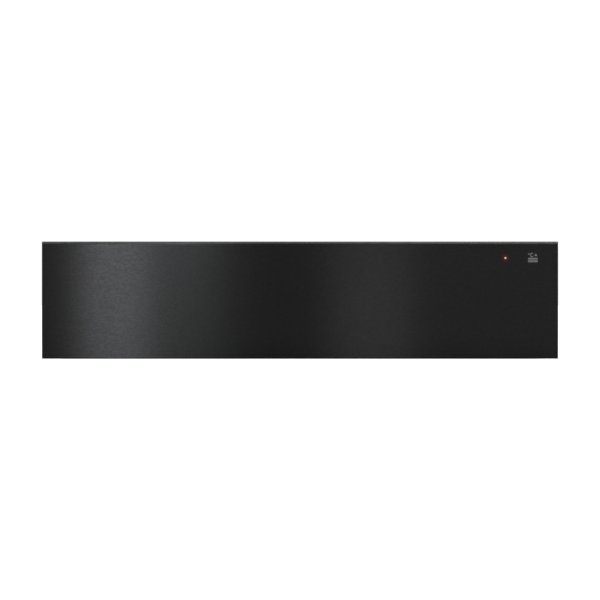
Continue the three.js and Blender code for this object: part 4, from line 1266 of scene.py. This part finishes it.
element()
fan()
electrics()
leads()
finish("cable_arm_rear_link", M["zinc_sheet"], 0.2)
finish("cable_arm_front_link", M["zinc_sheet"], 0.2)


# ------------------------------------------------------------------ floor, light and backdrop
def floor():
    bm = bmesh.new()
    bmesh.ops.create_grid(bm, x_segments=1, y_segments=1, size=40)
    mesh = bpy.data.meshes.new("floor")
    bm.to_mesh(mesh)
    bm.free()
    g = Graph("pale_floor")
    soft = g.noise(g.at(), 3, 3, 0.5)
    g.set(
        Base_Color=g.mix(g.scale(soft, 0, 1, 0.3, 0.7), (0.80, 0.80, 0.80), (0.83, 0.83, 0.83)),
        Roughness=0.9,
        Specular_IOR_Level=0.1,
    )
    # seen by the camera it is lit up to the white of the backdrop; other rays meet the plain floor,
    # which is darker in reflections, as a floor that ends a little way off would be
    t = g.tree
    path = t.nodes.new("ShaderNodeLightPath")
    shine = t.nodes.new("ShaderNodeEmission")
    shine.inputs["Strength"].default_value = FLOOR_LIFT
    add = t.nodes.new("ShaderNodeAddShader")
    pick = t.nodes.new("ShaderNodeMixShader")
    dark = t.nodes.new("ShaderNodeBsdfDiffuse")
    dark.inputs["Color"].default_value = (0.13, 0.13, 0.13, 1)
    mirrored = t.nodes.new("ShaderNodeMixShader")
    t.links.new(path.outputs["Is Glossy Ray"], mirrored.inputs[0])
    t.links.new(g.bsdf.outputs[0], mirrored.inputs[1])
    t.links.new(dark.outputs[0], mirrored.inputs[2])
    clear = t.nodes.new("ShaderNodeBsdfTransparent")
    under = t.nodes.new("ShaderNodeMixShader")
    side = t.nodes.new("ShaderNodeNewGeometry")
    t.links.new(g.bsdf.outputs[0], add.inputs[0])
    t.links.new(shine.outputs[0], add.inputs[1])
    t.links.new(path.outputs["Is Camera Ray"], pick.inputs[0])
    t.links.new(mirrored.outputs[0], pick.inputs[1])
    t.links.new(add.outputs[0], pick.inputs[2])
    # light that leaves the underside passes the floor it stands on, so that it isn't black seen from below
    near = t.nodes.new("ShaderNodeMath")
    near.operation = "LESS_THAN"
    t.links.new(path.outputs["Ray Length"], near.inputs[0])
    near.inputs[1].default_value = 0.045
    away = t.nodes.new("ShaderNodeMath")
    away.operation = "SUBTRACT"
    away.use_clamp = True
    t.links.new(near.outputs[0], away.inputs[0])
    t.links.new(path.outputs["Is Camera Ray"], away.inputs[1])
    open_side = t.nodes.new("ShaderNodeMath")
    open_side.operation = "MAXIMUM"
    t.links.new(side.outputs["Backfacing"], open_side.inputs[0])
    t.links.new(away.outputs[0], open_side.inputs[1])
    t.links.new(open_side.outputs[0], under.inputs[0])
    t.links.new(pick.outputs[0], under.inputs[1])
    t.links.new(clear.outputs[0], under.inputs[2])
    t.links.new(under.outputs[0], g.out.inputs["Surface"])
    mesh.materials.append(g.material)
    obj = link(bpy.data.objects.new("floor", mesh))
    obj.location.z = -0.00005
    return obj


def world():
    """White behind the object. What lights and reflects in it is a soft room: dim in front, brighter above and behind."""
    w = bpy.data.worlds.new("studio")
    scene.world = w
    w.use_nodes = True
    t = w.node_tree
    t.nodes.clear()
    out = t.nodes.new("ShaderNodeOutputWorld")
    seen = t.nodes.new("ShaderNodeBackground")
    seen.inputs["Color"].default_value = (1, 1, 1, 1)
    seen.inputs["Strength"].default_value = 1.02
    room = t.nodes.new("ShaderNodeBackground")
    where = t.nodes.new("ShaderNodeTexCoord")
    split = t.nodes.new("ShaderNodeSeparateXYZ")
    t.links.new(where.outputs["Generated"], split.inputs[0])
    back = t.nodes.new("ShaderNodeMapRange")
    back.interpolation_type = "SMOOTHSTEP"
    t.links.new(split.outputs[1], back.inputs["Value"])
    for name, x in (("From Min", -0.95), ("From Max", 0.35), ("To Min", ROOM_FRONT), ("To Max", ROOM_BACK)):
        back.inputs[name].default_value = x
    over = t.nodes.new("ShaderNodeMapRange")
    over.interpolation_type = "SMOOTHSTEP"
    t.links.new(split.outputs[2], over.inputs["Value"])
    for name, x in (("From Min", 0.25), ("From Max", 1.0), ("To Min", 0.0), ("To Max", ROOM_TOP)):
        over.inputs[name].default_value = x
    both = t.nodes.new("ShaderNodeMath")
    both.operation = "ADD"
    t.links.new(back.outputs[0], both.inputs[0])
    t.links.new(over.outputs[0], both.inputs[1])
    room.inputs["Color"].default_value = (1.0, 0.995, 0.985, 1)
    t.links.new(both.outputs[0], room.inputs["Strength"])
    path = t.nodes.new("ShaderNodeLightPath")
    mix = t.nodes.new("ShaderNodeMixShader")
    t.links.new(path.outputs["Is Camera Ray"], mix.inputs[0])
    t.links.new(room.outputs[0], mix.inputs[1])
    t.links.new(seen.outputs[0], mix.inputs[2])
    t.links.new(mix.outputs[0], out.inputs["Surface"])


def area(name, place, target, size, power, color=(1, 1, 1)):
    light = bpy.data.lights.new(name, "AREA")
    light.shape = "RECTANGLE"
    light.size, light.size_y = size
    light.energy = power
    light.color = color
    obj = link(bpy.data.objects.new(name, light))
    obj.location = place
    obj.rotation_euler = (Vector(target) - Vector(place)).to_track_quat("-Z", "Y").to_euler()
    obj.visible_camera = False
    return obj


FLOOR_LIFT = 0.85
ROOM_FRONT, ROOM_BACK, ROOM_TOP = 0.02, 0.55, 0.22
ground = floor()
world()
STRIP_Y = FRONT_Y - 0.70
# the strips are flagged off everything but the front and the floor, so they leave no glare on the housing's top
front_only = bpy.data.collections.new("lit_by_strips")
for obj in (ground, *(bpy.data.objects[name] for name in ("front_skin", "front_symbol", "lamp_light_pipe"))):
    front_only.objects.link(obj)


def strip(name, x, width, z, height, power, color=(1, 1, 1)):
    """An upright strip light in front of the drawer; the brushed face draws it out into a vertical band."""
    obj = area(name, (x, STRIP_Y, z), (x, FRONT_Y, z), (width, height), power, color)
    obj.light_linking.receiver_collection = front_only
    return obj


area("overhead", (0, -0.9, 2.1), (0, -0.1, 0), (2.2, 1.4), 32)
area("overhead_right", (0.60, -0.9, 2.0), (0.5, -0.1, 0), (1.0, 1.3), 11)
COOL, WARM = (0.97, 0.99, 1.04), (1.0, 0.995, 0.985)
# name, middle, width, colour, then the pieces of the strip: height of its middle, length, power
for name, x, width, color, pieces in (
    ("band_left", -0.2510, 0.087, COOL, ((0.15, 0.20, 0.51),)),
    ("band_left_wide", -0.1600, 0.086, COOL, ((0.35, 0.20, 0.09), (0.60, 0.30, 0.56))),
    ("band_right", 0.0950, 0.108, WARM, ((0.022, 0.04, 0.115),)),
    ("fill_right", 0.43, 0.50, (1, 1, 1), ((0.60, 0.30, 0.12),)),
):
    for i, (z, length, power) in enumerate(pieces):
        strip("%s_%d" % (name, i), x, width, z, length, power, color)
area("side_left", (-2.3, 0.55, 1.35), (0, 0.1, 0.05), (2.4, 1.5), 12)
area("side_right", (2.3, 0.55, 1.35), (0, 0.1, 0.05), (2.4, 1.5), 12)
